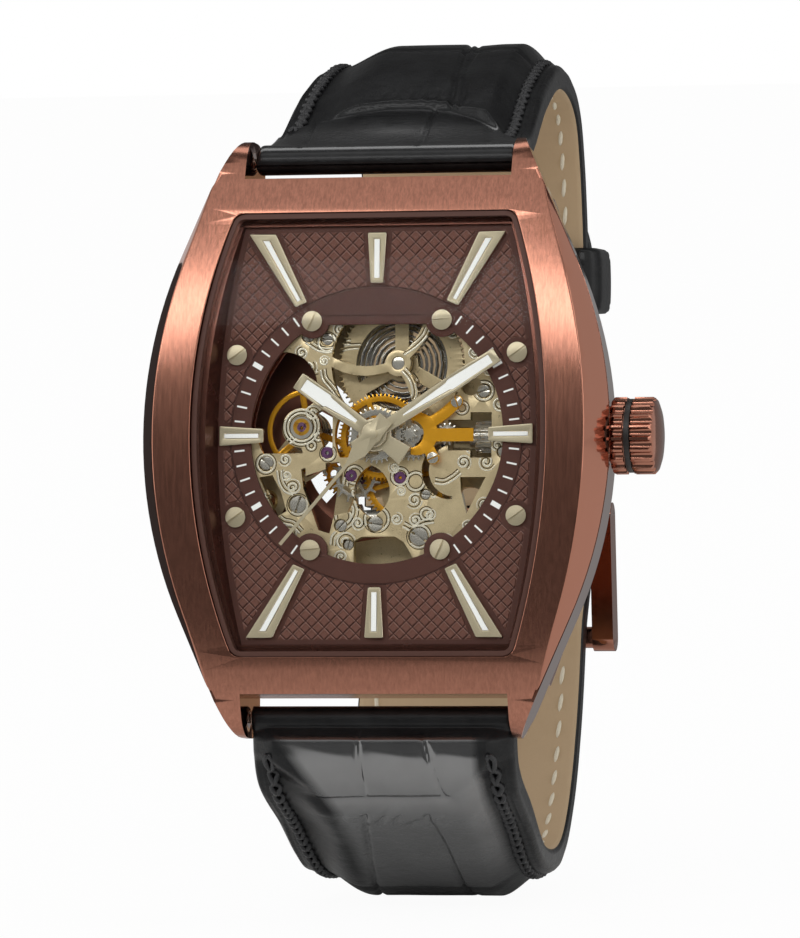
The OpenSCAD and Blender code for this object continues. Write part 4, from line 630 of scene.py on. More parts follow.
REACH = 34  # squares each way from the middle
GROOVE, SLOPE, SUNK, RAISED = 0.06, 0.10, 0.03, 0.10
HALF = (PITCH - GROOVE) * math.sqrt(0.5)
corners, faces = [], []
for i in range(-REACH, REACH + 1):
    for j in range(-REACH, REACH + 1):
        p, q = (i + 0.5) * PITCH, (j + 0.5) * PITCH
        centre = ((p + q) * math.sqrt(0.5), (p - q) * math.sqrt(0.5))
        if abs(centre[0]) > 14.5 or abs(centre[1]) > 18.8:
            continue
        diamond = [(centre[0] + HALF * dx, centre[1] + HALF * dz)
                   for dx, dz in ((1, 0), (0, 1), (-1, 0), (0, -1))]
        outline = trimmed(diamond, centre)
        n = len(outline)
        if n < 3:
            continue
        pairs = zip(outline[-1:] + outline[:-1], outline)
        area = sum(a[0] * b[1] - b[0] * a[1] for a, b in pairs) / 2
        if area < 0.05:
            continue
        mid = [sum(spot[axis] for spot in outline) / n for axis in (0, 1)]
        start, shrink = len(corners), 1 - SLOPE / math.sqrt(area / 4)
        for height, size in ((-SUNK, 1.0), (RAISED, shrink)):
            corners += [((mid[0] + (x - mid[0]) * size) * MM, -(DIAL_H + height) * MM,
                         (mid[1] + (z - mid[1]) * size) * MM) for x, z in outline]
        faces += [tuple(range(start, start + n)), tuple(range(start + n, start + 2 * n))[::-1]]
        faces += [(start + k, start + n + k, start + n + (k + 1) % n, start + (k + 1) % n) for k in range(n)]
squares = new_piece("waffle_squares", corners, faces)
dress(dial_finish, squares)
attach(squares, "watch")
print("waffle corners:", len(corners), "faces:", len(faces))

# %% [markdown]
# ## Plates and bridges
# The front plate and the bridges are nickel, warm where light passes over them, and their edges are polished.
# Fine engraving lies on them: its ground is darker and slightly rough.

# %% Nickel of the plates
PLATES = ("main_plate", "barrel_bridge", "train_bridge", "balance_cock", "pallet_bridge", "barrel")
nickel = Finish("nickel plate")
cloud = nickel.noise(nickel.place(), 1.1, 4.0, 0.6)
stipple = nickel.noise(nickel.place(), 11.0, 2.0)
flat = nickel.facing()[1].ramp(0.6, 0.9)
worn = nickel.mix(cloud, (0.56, 0.44, 0.25), (0.76, 0.62, 0.37))
nickel.surface(
    Base_Color=nickel.mix(flat * stipple.ramp(0.5, 0.3) * 0.18, worn, (0.24, 0.18, 0.10)),
    Metallic=1.0 - flat * 0.5,
    Roughness=0.14 + flat * (0.10 + cloud * 0.10),
    Normal=nickel.bump(stipple, 0.003, 0.5),
)
dress(nickel, *PLATES)
for name in PLATES:
    machined(name, 0.06)
print("plates:", len(PLATES))

# %% [markdown]
# ## The strap's path
# The strap is a closed loop, as it would be round a wrist. Its middle line is a smooth curve through fifteen
# places in the YZ plane, one for every 20 steps of t: t is -140 at the lower spring bar, 140 at the upper
# one, and -3 at the buckle's bar. Everything on the strap is placed by t, by x across it, and by height above
# the band, so pads, stitches and creases follow the loop by themselves.

# %% Points of the loop
BAR_H, BAR_Z = 4.3, 24.75
T_END, T_STEP = 140, 20
BAND, END_R, LAYER_GAP, BUCKLE_T = 2.2, 1.6, 0.6, -3
DEEP, UP, DOWN = 36.2, 10.55, 12.15
LOOP = np.array([
    (-BAR_H, -BAR_Z), (-0.6 * BAR_H, -BAR_Z - 0.4 * DOWN), (0.124 * DEEP, -BAR_Z - 0.654 * DOWN),
    (0.387 * DEEP, -BAR_Z - 0.968 * DOWN), (0.68 * DEEP, -BAR_Z - 0.86 * DOWN), (0.884 * DEEP, -1.1 * BAR_Z),
    (0.983 * DEEP, -0.626 * BAR_Z), (DEEP, -0.08 * BAR_Z), (0.994 * DEEP, 0.445 * BAR_Z),
    (0.964 * DEEP, 0.95 * BAR_Z), (0.845 * DEEP, BAR_Z + 0.782 * UP), (0.566 * DEEP, BAR_Z + UP),
    (0.293 * DEEP, BAR_Z + 0.687 * UP), (0.072 * DEEP, BAR_Z + 0.213 * UP), (-BAR_H, BAR_Z)])
LOOP = np.vstack([2 * LOOP[0] - LOOP[1], LOOP, 2 * LOOP[-1] - LOOP[-2]])


def smooth(u):
    u = np.clip(u, 0.0, 1.0)
    return u * u * (3 - 2 * u)


def bell(u):
    return np.exp(-np.square(u))


def curve_weights(u):
    """Shares of four neighbouring places in a smooth curve, at u from the second one to the third."""
    return np.array([-u + 2 * u * u - u ** 3, 2 - 5 * u * u + 3 * u ** 3, u + 4 * u * u - 3 * u ** 3,
                     u ** 3 - u * u]) / 2


def strap_place(t, height=0.0):
    """Place (y, z), outward direction and run of the loop, for arrays of t, at a height over its middle."""
    t = np.asarray(t, float)
    part = np.clip(np.floor((t + T_END) / T_STEP), 0, len(LOOP) - 4).astype(int)
    u = (t + T_END) / T_STEP - part
    weights = curve_weights(u)
    slopes = np.array([-1 + 4 * u - 3 * u * u, 9 * u * u - 10 * u, 1 + 8 * u - 9 * u * u, 3 * u * u - 2 * u])
    spot = sum(weights[k][..., None] * LOOP[part + k] for k in range(4))
    run = sum(slopes[k][..., None] * LOOP[part + k] for k in range(4))
    run = run / np.linalg.norm(run, axis=-1, keepdims=True)
    out = np.stack([run[..., 1], -run[..., 0]], axis=-1)
    return spot + np.asarray(height)[..., None] * out, out, run


def half_width(y):
    return np.interp(y, [-2, 33], [11.7, 10.5])


def tail_lift(t):
    """The lower half lies outside the upper one where they overlap."""
    return (BAND + LAYER_GAP) * smooth((t - BUCKLE_T + 17) / 13)


ends, _, _ = strap_place(np.array([-T_END, BUCKLE_T, T_END]))
print("the loop passes, in mm:", ends.round(2).tolist())

# %% [markdown]
# ## Relief of padded crocodile leather
# Real hide of this kind has scales, with deep creases between them, and the pad underneath lifts its middle.
# The relief is a height over the band, written as a sum of soft steps and narrow valleys. On the upper half a
# scale ends in a curved lip in front of the spring bar. The lower half bulges widest at its bar, draws in
# between its seams and has two rows of scales. Both have folded ridges along their edges.

# %% Heights of the two halves
LIP = ([-11.7, -9, -6.5, -4, -1.5, 1.5, 4, 7, 9, 11.7],  # x across the strap, and t of the lip there
       [122, 119.5, 119.3, 117, 115.7, 115.8, 117, 121.5, 126, 131])
PAD_H, NECK_H = 2.05, 1.75


def valley(distance, depth, width):
    return -depth * bell(distance / width)


def wander(x, t, size, seed):
    """Slow, repeatable waviness from a few sines."""
    rng = np.random.default_rng(seed)
    total = 0.0
    for _ in range(6):
        fx, ft, phase = rng.normal(0, 1 / size), rng.normal(0, 2.4 / size), rng.uniform(0, 6.28)
        total = total + np.sin(fx * x + ft * t * 0.45 + phase)
    return total / 6


def edge_ridges(x, t):
    """Folded and glued layers along the edges show as fine parallel ridges."""
    side_x = np.abs(x) + 0.05 * np.sin(t * 0.35)
    folds = valley(side_x - 10.75, 0.16, 0.10) + valley(side_x - 11.2, 0.12, 0.09)
    return folds * smooth((128 - np.abs(t)) / 4)


def upper_height(x, t):
    lip = np.interp(x, *LIP) + 0.5 * wander(x, 0 * t, 2.5, 4)
    crown = smooth((x + 9.9) / 6.0) * smooth((10.0 - x) / 2.6)
    neck = np.clip(1 - np.abs(x / 11.9) ** 2.6, 0, 1) * smooth((139.5 - t) / 19)
    over = smooth((lip - t) / 0.9)
    height = (over * PAD_H * crown + (1 - over) * NECK_H * neck) * smooth((t - 50) / 24)
    height = height + 0.34 * bell((lip - 1.5 - t) / 1.3) * smooth((9.8 - np.abs(x - 0.4)) / 1.5)
    below = 1 - over
    height = height + below * (valley(x + 8.0 - 0.01 * (t - 130), 0.26, 0.16) + valley(x - 2.7, 0.30, 0.15))
    line = 2.9 + 0.046 * (t - 88)
    rows = over * smooth((t - 60) / 4)
    beyond = valley(x - line - 0.8 - 0.2 * np.sin(t * 0.3), 0.20, 0.2)
    hollow = -0.18 * smooth((x - line) / 0.6) * smooth((line + 3.5 - x) / 3.5)
    height = height + rows * (valley(x - line, 0.42, 0.22) + beyond + hollow)
    for at, seed in ((88.5, 5), (66.0, 6)):
        across = t - at - 0.12 * x - 1.2 * wander(x, 0 * t, 3.0, seed)
        height = height + over * valley(across, 0.34, 0.8) * crown
    puckers = over * bell((lip - 4.5 - t) / 3.5) * bell((x - 1.5) / 4.0)
    height = height + 0.10 * puckers * np.sin(x * 5.2 + 1.5 * np.sin(t * 0.5))
    return height + edge_ridges(x, t) + 0.05 * wander(x, t, 2.2, 1) * crown


def lower_height(x, t):
    a = -t
    flare = smooth((a - 120) / 9.5)
    left = smooth((x + 9.6 + 2.6 * flare) / (4.4 - 1.4 * flare))
    right = smooth((9.8 + 2.2 * flare - x) / (3.4 - 0.8 * flare))
    crown = left * right
    pad = PAD_H * smooth((a - 50) / 24) * smooth((140.5 - a) / 7.5)
    height = (pad - 0.35 * bell((a - 119) / 3.2)) * crown
    wave = 0.25 * wander(x, t, 2.0, 8)
    first = smooth((a - 119.5) / 1.2) * smooth((139 - a) / 5)
    height = height + first * (valley(x + 1.7 + 0.02 * (a - 126) + wave * 0.3, 0.38, 0.18)
                               + valley(x - 4.9 + 0.09 * (a - 126), 0.28, 0.20))
    cross = a - 119.2 - 0.05 * x - wave
    fold = valley(cross, 0.30, 0.8) + 0.16 * bell((cross + 3.0) / 1.6)
    height = height + crown * smooth((7.5 - np.abs(x + 0.5)) / 2) * fold
    second = smooth((116 - a) / 2) * smooth((a - 60) / 4)
    height = height + second * (valley(x + 2.0 + 0.062 * (115.5 - a) + 0.1 * wave, 0.34, 0.20)
                                + valley(x - 3.6 - 0.018 * (114 - a) + 0.1 * wave, 0.40, 0.20))
    height = height + second * crown * (valley(a - 82 + wave, 0.3, 0.9) + valley(a - 64 - wave, 0.3, 0.9))
    wrinkles = bell((a - 113.5) / 3.0) * bell((x - 0.5) / 4.5)
    height = height + 0.18 * wrinkles * np.sin(x * 3.4 - a * 1.1 + 1.2 * np.sin(x * 1.3))
    return height + edge_ridges(x, t) + 0.05 * wander(x, t, 2.2, 2) * crown


for name, height_of, t in (("upper", upper_height, 104.0), ("lower", lower_height, -104.0)):
    row = height_of(np.linspace(-11, 11, 45), np.full(45, t))
    print(name, "half at t", t, "is", round(row.min(), 2), "to", round(row.max(), 2), "mm over the band")

# %% [markdown]
# ## Weaving the halves into closed skins
# Each half is a row of cross-sections from one end to the other. A cross-section runs over the outer skin,
# round a soft edge, back along the lining and up the other edge. Modelling it directly keeps the sharp
# creases: a cloth simulation needs a remesh first, and that would wash them out. At the bar the sections grow
# into a tube and close over it.

# %% Build both halves
TOP_N, SIDE_N, UNDER_N = 121, 6, 41  # points of a section: outer skin, each edge, lining
END_STEPS = (1.58, 1.5, 1.36, 1.14, 0.85, 0.5)  # sections beyond the bar's middle, in mm


def strip_mesh(name, rows, closed_ends=True):
    """Joins equal rings of points into one closed skin."""
    rings = np.array(rows) * MM
    count, size = rings.shape[:2]
    faces = [(r * size + k, r * size + (k + 1) % size, (r + 1) * size + (k + 1) % size, (r + 1) * size + k)
             for r in range(count - 1) for k in range(size)]
    if closed_ends:
        faces += [tuple(range(size))[::-1], tuple((count - 1) * size + k for k in range(size))]
    piece = new_piece(name, rings.reshape(-1, 3).tolist(), faces)
    smooth_shading(piece.data)
    return piece


def clear_of_case(y, z):
    """The end round the bar is flattened towards the case, so light passes between them."""
    if y < 0.5 and abs(z) < BAR_Z:
        return math.copysign(BAR_Z - (BAR_Z - abs(z)) * 0.69, z)
    return z


def rounded_edge(top, x, half):
    """The outer skin falls 0.38 mm in a quarter round at both borders."""
    inside = np.clip((half - np.abs(x)) / 0.5, 0, 1)
    return top - 0.38 * (1 - np.sqrt(1 - (1 - inside) ** 2))


def strap_half(name, t_list, sign, height_of, lift_of, narrow_of):
    """t_list runs away from the bar; sign says which bar it starts at."""
    bar_t = T_END * sign
    bar_spot = strap_place(np.array([bar_t]))[0][0]
    rings = []
    for t, beyond in [(bar_t, d) for d in END_STEPS] + [(t, None) for t in t_list]:
        at = np.array([t], float)
        spot, out, run = (a[0] for a in strap_place(at, lift_of(at)))
        if beyond:
            spot = spot + run * sign * beyond
        half = half_width(spot[0]) * narrow_of(at)[0]
        x = np.linspace(-1, 1, TOP_N)
        x = (x + 0.10 * np.sin(np.pi * x) / np.pi) * half
        if beyond:
            low = tube = math.sqrt(END_R ** 2 - beyond ** 2)
            top = np.full(TOP_N, tube)
        else:
            tube = math.sqrt(max(END_R ** 2 - np.sum((spot - bar_spot) ** 2), 0.0))
            low = max(BAND / 2, tube)
            creases = 0.0
            if sign > 0 and t > 134:
                creases = valley(x + 7.95, 0.22, 0.14) + valley(x - 2.7, 0.24, 0.14)
            top = np.maximum(BAND / 2 + height_of(x, np.full(TOP_N, t)), tube + creases)
        top = rounded_edge(top, x, half)
        down = np.linspace(top[-1] - 0.15, -low + 0.25, SIDE_N)
        up = np.linspace(-low + 0.25, top[0] - 0.15, SIDE_N)
        under = np.linspace(1, -1, UNDER_N) * (half - 0.12)
        across = np.concatenate([x, np.full(SIDE_N, half + 0.06), under, np.full(SIDE_N, -half - 0.06)])
        over = np.concatenate([top, down, np.full(UNDER_N, -low), up])
        rings.append([(px, y, clear_of_case(y, z)) for px, (y, z) in zip(across, spot + np.outer(over, out))])
    return strip_mesh(name, rings)


def spread(start, stop, fine_until, fine=0.45, coarse=1.2):
    """Steps of t that are fine near the bar and coarser behind the wrist."""
    way = 1 if stop > start else -1
    near = np.arange(start, fine_until, way * fine)
    return np.concatenate([near, np.arange(fine_until, stop, way * coarse), [stop]])


def no_lift(t):
    return np.zeros_like(t)


def tail_shape(t):
    """The lower half's tail narrows in a round tip."""
    left = np.clip((50.2 - t) / 17.5, 0, 1)
    return np.sqrt(np.clip(1 - (1 - left) ** 2, 0.0004, 1))


upper = strap_half("upper_strap_leather", spread(T_END, -1.5, 62), 1, upper_height, no_lift, np.ones_like)
lower = strap_half("lower_strap_leather", spread(-T_END, 50, -62), -1, lower_height, tail_lift, tail_shape)
for piece, node, body in ((upper, "upper_strap", "watch"), (lower, "lower_strap", "watch")):
    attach(piece, body)
    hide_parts(node)
    print(piece.name, "points:", len(piece.data.vertices))

# %% [markdown]
# ## Leather, lining and thread
# The outside is glossy black hide: fine pores, soft wrinkles that run across the strap, and scuffs that take
# the shine off here and there. A coat gives the finish its second, sharper shine, strongest on the lower pad
# and on the fold at the upper bar. The inside is smooth beige lining with cream stitches, and a thick black
# braid runs down both borders of the outside.

# %% Leather and lining
leather = Finish("black scaled leather")
spot = leather.place()
pores = leather.noise(spot, 4.5, 3.0, 0.6)
folds = leather.noise(leather.place((0.9, 0.9, 2.6)), 0.9, 4.0, 0.6)
scuffs = leather.noise(spot, 0.35, 4.0, 0.55)
x_of, back_of, z_of = leather.parts(spot)
left_slope = (x_of + 8.6 + (z_of + 27.5).most(-5.5) * 0.7).ramp(-0.3, 1.0)
lower_pad = z_of.ramp(-25.9, -27.2) * back_of.ramp(14.0, 6.0) * left_slope * x_of.ramp(9.1, 8.3)
roll = z_of.ramp(25.2, 26.0) * z_of.ramp(28.8, 27.8) * back_of.ramp(2.0, 0.0)
polished_bend = lower_pad * (0.5 + z_of.ramp(-34.5, -31.5) * 0.5) + roll * 0.6
fall = z_of.ramp(-25.8, -30.8) * z_of.ramp(-24.0, -25.0) * -9.0
leather.surface(
    Base_Color=leather.mix(scuffs.ramp(0.35, 0.7), (0.006, 0.006, 0.0065), (0.012, 0.0125, 0.013)),
    Roughness=0.26 + scuffs * 0.16 + pores * 0.05,
    Coat_Weight=0.015 + 0.03 * scuffs + polished_bend * (0.85 + scuffs * 0.25),
    Coat_Roughness=0.15,
    Coat_IOR=2.8,
    Specular_IOR_Level=0.17,
    Normal=leather.bump(pores * 0.35 + folds + fall, 0.09, 0.8),
)
lining = Finish("beige lining")
fibre = lining.noise(lining.place((1.0, 1.0, 0.4)), 5.0, 4.0, 0.65)
tone = lining.noise(lining.place(), 0.12, 2.0)
lining.surface(
    Base_Color=lining.mix(tone * 0.6 + fibre * 0.4, (0.46, 0.325, 0.185), (0.56, 0.42, 0.265)),
    Roughness=0.62 + fibre * 0.15,
    Normal=lining.bump(fibre, 0.03, 0.5),
)
RING = TOP_N + 2 * SIDE_N + UNDER_N
FIRST_LINED = 22  # the sections before it wrap the bar in leather
for piece in (upper, lower):
    piece.data.materials.append(leather.material)
    piece.data.materials.append(lining.material)
    inside = np.zeros(len(piece.data.polygons), int)
    for r in range(FIRST_LINED, len(piece.data.vertices) // RING - 1):
        start = r * RING + TOP_N + SIDE_N
        inside[start:start + UNDER_N - 1] = 1
    piece.data.polygons.foreach_set("material_index", inside)
    print(piece.name, "lining faces:", int(inside.sum()))

# %% [markdown]
# ## Thread
# A thread is a thin tube along a path. The braid is two strands that cross over each other again and again:
# each swings from side to side in a sine, and rises where it passes over the other. The lining's stitches are
# single short tubes, pulled in at both ends. One helper makes them all and joins them into one piece.

# %% Tubes along paths
def threads(name, paths, sides=7):
    """paths: (points in mm, outward directions, radii). All tubes become one mesh."""
    points, faces = [], []
    turns = [2 * math.pi * k / sides for k in range(sides)]
    for spots, outs, radii in paths:
        spots, outs = np.asarray(spots, float), np.asarray(outs, float)
        run = np.gradient(spots, axis=0)
        run /= np.linalg.norm(run, axis=1, keepdims=True)
        beside = np.cross(run, outs)
        beside /= np.linalg.norm(beside, axis=1, keepdims=True)
        above = np.cross(beside, run)
        start = len(points)
        for spot, b, u, r in zip(spots, beside, above, radii):
            points += [tuple((spot + r * (math.cos(a) * b + math.sin(a) * u)) * MM) for a in turns]
        for i in range(len(spots) - 1):
            for k in range(sides):
                a, b = start + i * sides + k, start + i * sides + (k + 1) % sides
                faces.append((a, b, b + sides, a + sides))
        last = start + (len(spots) - 1) * sides
        faces += [tuple(range(start, start + sides))[::-1], tuple(range(last, last + sides))]
    piece = new_piece(name, points, faces)
    smooth_shading(piece.data)
    return piece


def on_strap(x, t, height, lift_of):
    """Points and outward directions over the band, from arrays of x, t and height over the middle line."""
    spot, out, _ = strap_place(t, lift_of(t) + height)
    zero = np.zeros(len(t))
    return np.column_stack([x, spot]), np.column_stack([zero, out])


BRAID_PITCH, STRAND_R = 2.3, 0.25


def braid(x0, t0, t1, height_of, lift_of):
    t = np.arange(t0, t1, 0.42)
    spot, _, _ = strap_place(t)
    s = np.concatenate([[0], np.cumsum(np.linalg.norm(np.diff(spot, axis=0), axis=1))])
    taper = half_width(spot[:, 0]) / 11.7
    tubes = []
    for strand in (0, math.pi):
        turn = 2 * math.pi * s / BRAID_PITCH + strand
        x = x0 * taper + 0.36 * np.sin(turn) + 0.05 * np.sin(s * 7.1 + strand)
        height = BAND / 2 + height_of(np.full(len(t), x0), t) + 0.16 + 0.15 * np.cos(2 * turn + 0.8)
        tubes.append((*on_strap(x, t, height, lift_of), np.full(len(t), STRAND_R)))
    return tubes


thread_black = clouded("black waxed thread", (0.008, 0.008, 0.009), (0.022, 0.022, 0.024), (0.30, 0.2),
                       (7.0, 3.0, 0.5), (0.08, 0.8), Specular_IOR_Level=0.5)
for name, *path in (("upper_braid_left", -10.15, 34, 122, upper_height, no_lift),
                    ("upper_braid_right", 10.0, 34, 127, upper_height, no_lift),
                    ("lower_braid_left", -10.0, -129.5, -34, lower_height, tail_lift),
                    ("lower_braid_right", 10.0, -129.5, -34, lower_height, tail_lift)):
    piece = threads(name, braid(*path))
    dress(thread_black, piece)
    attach(piece, "watch")
    print(name, "points:", len(piece.data.vertices))


# %% Cream stitches on the lining
STITCH, STITCH_GAP, STITCH_R = 1.75, 0.95, 0.20
PINCHED = np.array([0.5, 0.85, 1, 1, 1, 0.85, 0.5])


def lining_stitches(x_side, t0, t1):
    tubes, t, n = [], t0, len(PINCHED)
    while t < t1:
        spot, _, _ = strap_place(np.array([t, t + 1.0]))
        per_step = np.linalg.norm(spot[1] - spot[0])
        path_t = np.linspace(t, t + STITCH / per_step, n)
        width = half_width(strap_place(path_t)[0][:, 0])
        x = x_side * (width - 1.75 + 0.10 * np.linspace(-1, 1, n))
        sink = -BAND / 2 - 0.10 * np.sin(np.linspace(0, math.pi, n)) + 0.08
        spots, outs = on_strap(x, path_t, sink, tail_lift if t < -8 else no_lift)
        tubes.append((spots, -outs, STITCH_R * PINCHED))
        t += (STITCH + STITCH_GAP) / per_step
    return tubes


cream = clouded("cream thread", (0.66, 0.60, 0.45), (0.82, 0.77, 0.63), (0.6, 0.1), (8.0, 2.0, 0.5),
                (0.05, 0.6))
for name, t0, t1 in (("upper_lining_stitches", 2, 128), ("lower_lining_stitches", -128, -24)):
    stitches = lining_stitches(-1, t0, t1) + lining_stitches(1, t0, t1)
    piece = threads(name, stitches)
    dress(cream, piece)
    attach(piece, "watch")
    print(name, len(stitches))

# %% [markdown]
# ## Keepers
# Two flat leather loops hold the tail. Each is one band of leather bent round both layers, so it is a flat
# section with soft, crowned edges and a pressed line near each border, swept round a rectangle with round
# corners. The free keeper has more room, so that it can slide.

# %% Keepers
KEEPER_T, KEEPER_W, KEEPER_CORNER = 1.1, 6.0, 0.9


def keeper_path(half_x, half_out):
    """Places and directions (x, out, angle) round a rectangle with round corners, 0.8 mm apart at most."""
    corner, path = KEEPER_CORNER, []
    for cx, cy, first in ((1, 1, 0), (-1, 1, 90), (-1, -1, 180), (1, -1, 270)):
        for a in np.radians(first + np.linspace(0, 90, 9)):
            path.append(((half_x - corner) * cx + corner * math.cos(a),
                         (half_out - corner) * cy + corner * math.sin(a), a))
    filled = []
    for here, there in zip(path, path[1:] + path[:1]):
        steps = max(1, int(math.dist(here[:2], there[:2]) / 0.8))
        turn = (there[2] - here[2] + math.pi) % (2 * math.pi) - math.pi
        move = (there[0] - here[0], there[1] - here[1], turn)
        filled += [tuple(h + m * k / steps for h, m in zip(here, move)) for k in range(steps)]
    return filled


def keeper_loop(name, t, room, node, body):
    spot, out, run = (a[0] for a in strap_place(np.array([float(t)]), np.array([(BAND + LAYER_GAP) / 2])))
    edge = KEEPER_W / 2
    across = np.linspace(-edge, edge, 25)
    crown = KEEPER_T * (1 - 0.10 * (across / edge) ** 2) - 0.45 * np.abs(across / edge) ** 14
    crown = crown + valley(np.abs(across) - edge + 0.65, 0.13, 0.12)
    section = [*zip(across, crown), (edge - 0.05, 0.15), (edge - 0.15, 0.0), (0.15 - edge, 0.0),
               (0.05 - edge, 0.15)]
    rows = []
    for x, y, a in keeper_path(10.5 + room, BAND + LAYER_GAP / 2 + room):
        places = [(x + math.cos(a) * h, spot + out * (y + math.sin(a) * h) + run * w) for w, h in section]
        rows.append([(px, *place) for px, place in places])
    rows.append(rows[0])
    piece = strip_mesh(name, rows, closed_ends=False)
    piece.modifiers.new("closed loop", "WELD").merge_threshold = 1e-6
    dress(leather, piece)
    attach(piece, body)
    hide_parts(node)


keeper_loop("fixed_keeper_leather", 10, 0.3, "fixed_keeper", "watch")
keeper_loop("free_keeper_leather", 31, 0.52, "free_keeper", "loose_keeper")

# %% [markdown]
# ## Scroll engraving on the movement
# The plates are covered with the curls that engravers have cut on clocks for centuries: volutes with a bead
# in the middle, double ridges along the arms, and rings round the wells of screws and jewels. Each is drawn
# as a path over the plates. A ray finds the metal under every point of the path, so a ridge lies on what
# carries it and stops where the plate is cut away. A ridge is polished and nearly white, partly a painted
# highlight; a darker, thinner thread beside it is painted shade along the cut.

# %% Finding the plates under a drawing
from mathutils.bvhtree import BVHTree

corners, sides_of = [], []
for name in PLATES:
    start = len(corners)
    corners += [tuple(v.co) for v in nodes[name].data.vertices]
    sides_of += [tuple(start + i for i in face.vertices) for face in nodes[name].data.polygons]
ground = BVHTree.FromPolygons([Vector(c) for c in corners], sides_of)


DEEPEST, LEVEL_STEP, SHORTEST = 5.0, 0.12, 4


def lay_on_plates(path, sink=0.0):
    """Splits a path of (x, z) in mm into runs that have metal under them: (index, 3-D point) each. Metal
    that lies deeper than the plates, or a jump from one plate to another, ends a run."""
    runs, run, last = [], [], None
    for k, (x, z) in enumerate(path):
        hit, normal, _, _ = ground.ray_cast(Vector((x * MM, -0.02, z * MM)), Vector((0, 1, 0)))
        height = -hit.y / MM if hit else 0
        if height > DEEPEST and normal.y < -0.8 and (last is None or abs(height - last) < LEVEL_STEP):
            run.append((k, (x, -(height - sink), z)))
            last = height
        else:
            runs.append(run)
            run, last = [], None
    return [run for run in (*runs, run) if len(run) >= SHORTEST]


print("faces under the drawing:", len(sides_of))


# %% Curls, rings and ridges
# x, z and size in mm of every curl, then of every ring, and the places that each ridge passes
CURLS = ((-6.95, 7.42, .53), (-6.36, 6.06, .67), (-4.9, 6.67, .39), (-5.92, 4.92, .39), (-5.92, 2.05, .67),
    (-3.51, 9.54, .53), (-8.37, -2.04, .49), (-7.61, -4.48, .6), (-8.23, -3.44, .42), (10.92, 2.75, .64),
    (10.74, -.91, .56), (9.76, -2.39, .64), (7.71, -2.39, .56), (4.95, -5.09, .53), (3.35, -5.7, .64),
    (2.1, -4.92, .39), (1.48, -2.83, .42), (1.74, -7.36, .46), (3.43, -7.44, .49), (-1.73, -7.7, .53),
    (-2.89, -9.36, .78), (-3.24, -10.67, .53), (-8.05, -8.49, .71), (-2.0, -5.0, .42), (-1.46, -6.05, .46),
    (4.77, -7.01, .42), (9.94, 5.71, .46), (8.6, 7.3, .5), (6.4, 9.2, .55), (6.3, -9.3, .6), (8.1, -8.0, .5),
    (9.6, -6.1, .55), (-9.9, -5.2, .4), (-5.2, -6.3, .5))
WELLS = ((-4.67, 8.32, .79), (-7.16, -6.05, .85), (-10.1, -2.39, .79), (-3.07, -7.09, .67),
    (-.04, -7.36, 1.06), (3.79, -8.92, .97), (4.41, -6.92, .49), (9.49, 3.88, .79), (7.53, 2.4, .49),
    (-6.9, .83, 1.25), (-6.9, .83, 1.55), (-4.49, -1.52, .6), (-2.09, -3.44, .75), (2.01, -3.61, .72),
    (3.43, -4.05, .78), (-5.38, -.04, .32), (-6.01, -.82, .35))
RIDGES = (
    ((-6.63, 8.32), (-5.56, 7.62), (-4.49, 7.42), (-3.07, 7.8), (-1.64, 7.83), (-.22, 7.54), (1.21, 6.93)),
    ((2.28, 7.1), (3.35, 7.8), (4.24, 8.67), (4.59, 9.37)),
    ((2.1, 5.71), (2.81, 4.84), (3.08, 3.79), (2.9, 3.27)),
    ((-5.24, 5.88), (-5.03, 5.01), (-4.31, 4.14), (-3.6, 3.27), (-3.07, 2.92)),
    ((-8.86, -1.43), (-8.59, -.91), (-7.88, -.56), (-7.34, -.21)),
    ((-9.09, -3.0), (-8.91, -4.05), (-8.41, -4.83), (-7.61, -5.18)),
    ((5.3, 1.7), (6.02, 1.53), (6.73, 2.05), (7.26, 2.22)),
    ((5.13, -4.22), (6.02, -4.31), (6.91, -3.87), (7.53, -3.35)),
    ((-2.35, -3.0), (-2.98, -3.7), (-3.07, -4.74), (-2.62, -5.61), (-2.18, -6.48), (-2.44, -7.36),
     (-3.24, -8.05), (-4.05, -8.75), (-4.22, -9.62)),
    ((5.48, -.21), (6.37, -.91), (7.44, -1.08), (8.51, -1.78)),
    ((2.28, -8.05), (3.17, -8.4), (4.06, -7.88), (5.13, -7.7)),
    ((-8.94, -7.36), (-8.41, -7.7), (-7.7, -7.88), (-6.99, -8.58)),
    ((-7.88, 6.75), (-7.52, 5.71), (-6.63, 5.19), (-5.38, 5.36)),
    ((-4.14, 8.84), (-3.78, 8.32), (-2.89, 8.23)),
    ((5.4, -10.6), (7.2, -9.6), (8.9, -7.9), (10.2, -5.9)),
    ((10.9, 4.6), (9.9, 6.6), (8.3, 8.6), (6.2, 10.2)))


def volute(x, z, reach, hand, first):
    """A curl that opens outwards and runs off in a tail."""
    turn = np.linspace(0, 2 * math.pi * 1.75, 90)
    r = reach * (0.30 + 0.70 * (turn / (2 * math.pi * 1.3)) ** 1.15)
    angle = first + hand * turn
    return np.column_stack([x + r * np.cos(angle), z + r * np.sin(angle)])


def rounded(places, steps=14):
    """A smooth curve through places."""
    p = np.array([2 * np.array(places[0]) - places[1], *places, 2 * np.array(places[-1]) - places[-2]], float)
    curve = [curve_weights(u) @ p[i - 1:i + 3] for i in range(1, len(p) - 2)
             for u in np.linspace(0, 1, steps, endpoint=False)]
    return np.array([*curve, p[-2]])


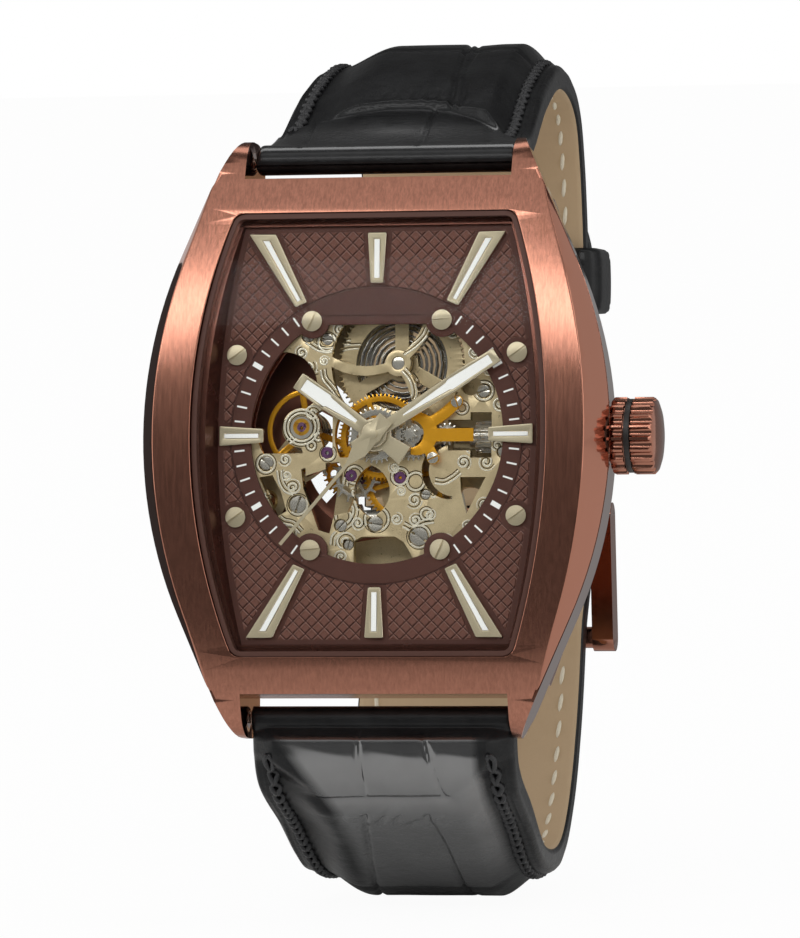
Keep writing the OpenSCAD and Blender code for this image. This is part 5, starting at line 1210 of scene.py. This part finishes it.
def beside(path, gap):
    run = np.gradient(path, axis=0)
    run /= np.linalg.norm(run, axis=1, keepdims=True)
    return path + gap * np.column_stack([-run[:, 1], run[:, 0]])


def tube(run, radii):
    """A thread along a run, for `threads`; the plates face forward."""
    return [p for _, p in run], np.tile((0.0, -1.0, 0.0), (len(run), 1)), np.broadcast_to(radii, len(run))


bright, cut = [], []
CUT_R, SINK = 0.055, 0.03


def ridge(path, thick, gaps, thin_end=False):
    """A bright ridge, and a thin dark thread of painted shade at each gap beside it."""
    for run in lay_on_plates(path, SINK):
        left = 1 - np.array([k for k, _ in run]) / (len(path) - 1)
        bright.append(tube(run, thick * (0.45 + 0.55 * smooth(left / 0.35)) if thin_end else thick))
    for gap in gaps:
        cut.extend(tube(run, CUT_R) for run in lay_on_plates(beside(path, gap), SINK))


for k, (x, z, reach) in enumerate(CURLS):
    hand = 1 if k % 2 else -1
    ridge(volute(x, z, reach, hand, k * 2.4), 0.115, [0.17 * hand], thin_end=True)
    bead = np.column_stack([x + np.linspace(-0.11, 0.11, 7), np.full(7, z)])
    for run in lay_on_plates(bead, 0.02):
        bright.append(tube(run, 0.16 * np.sin(np.linspace(0.4, 2.74, len(run)))))
for x, z, reach in WELLS:
    a = np.linspace(0, 2 * math.pi, 49)
    ridge(np.column_stack([x + reach * np.cos(a), z + reach * np.sin(a)]), 0.10, (0.16, -0.16))
for places in RIDGES:
    path = rounded(places)
    ridge(path, 0.11, [0.17])
    ridge(beside(path, 0.36), 0.075, [0.14])
# The ridges are polished nickel, in a colour lighter than the metal that also paints in their highlight
scroll_bright = plain_metal("polished nickel ridges, painted highlight", (0.98, 0.92, 0.74), 0.13, 8.0, 0.001, 0.93, metal=0.6)
# The dark threads beside the ridges are painted shade along the cuts
scroll_painted_shade = plain_metal("painted shade along the cuts", (0.05, 0.038, 0.02), 0.45, 8.0, 0.002)
for name, paths, sides, finish in (("scroll_ridges", bright, 8, scroll_bright),
                                   ("scroll_cut_shade_lines", cut, 5, scroll_painted_shade)):
    piece = threads(name, paths, sides)
    dress(finish, piece)
    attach(piece, "watch")
    print(name, "tubes:", len(paths), "points:", len(piece.data.vertices))

# %% Update the scene
bpy.context.view_layer.update()
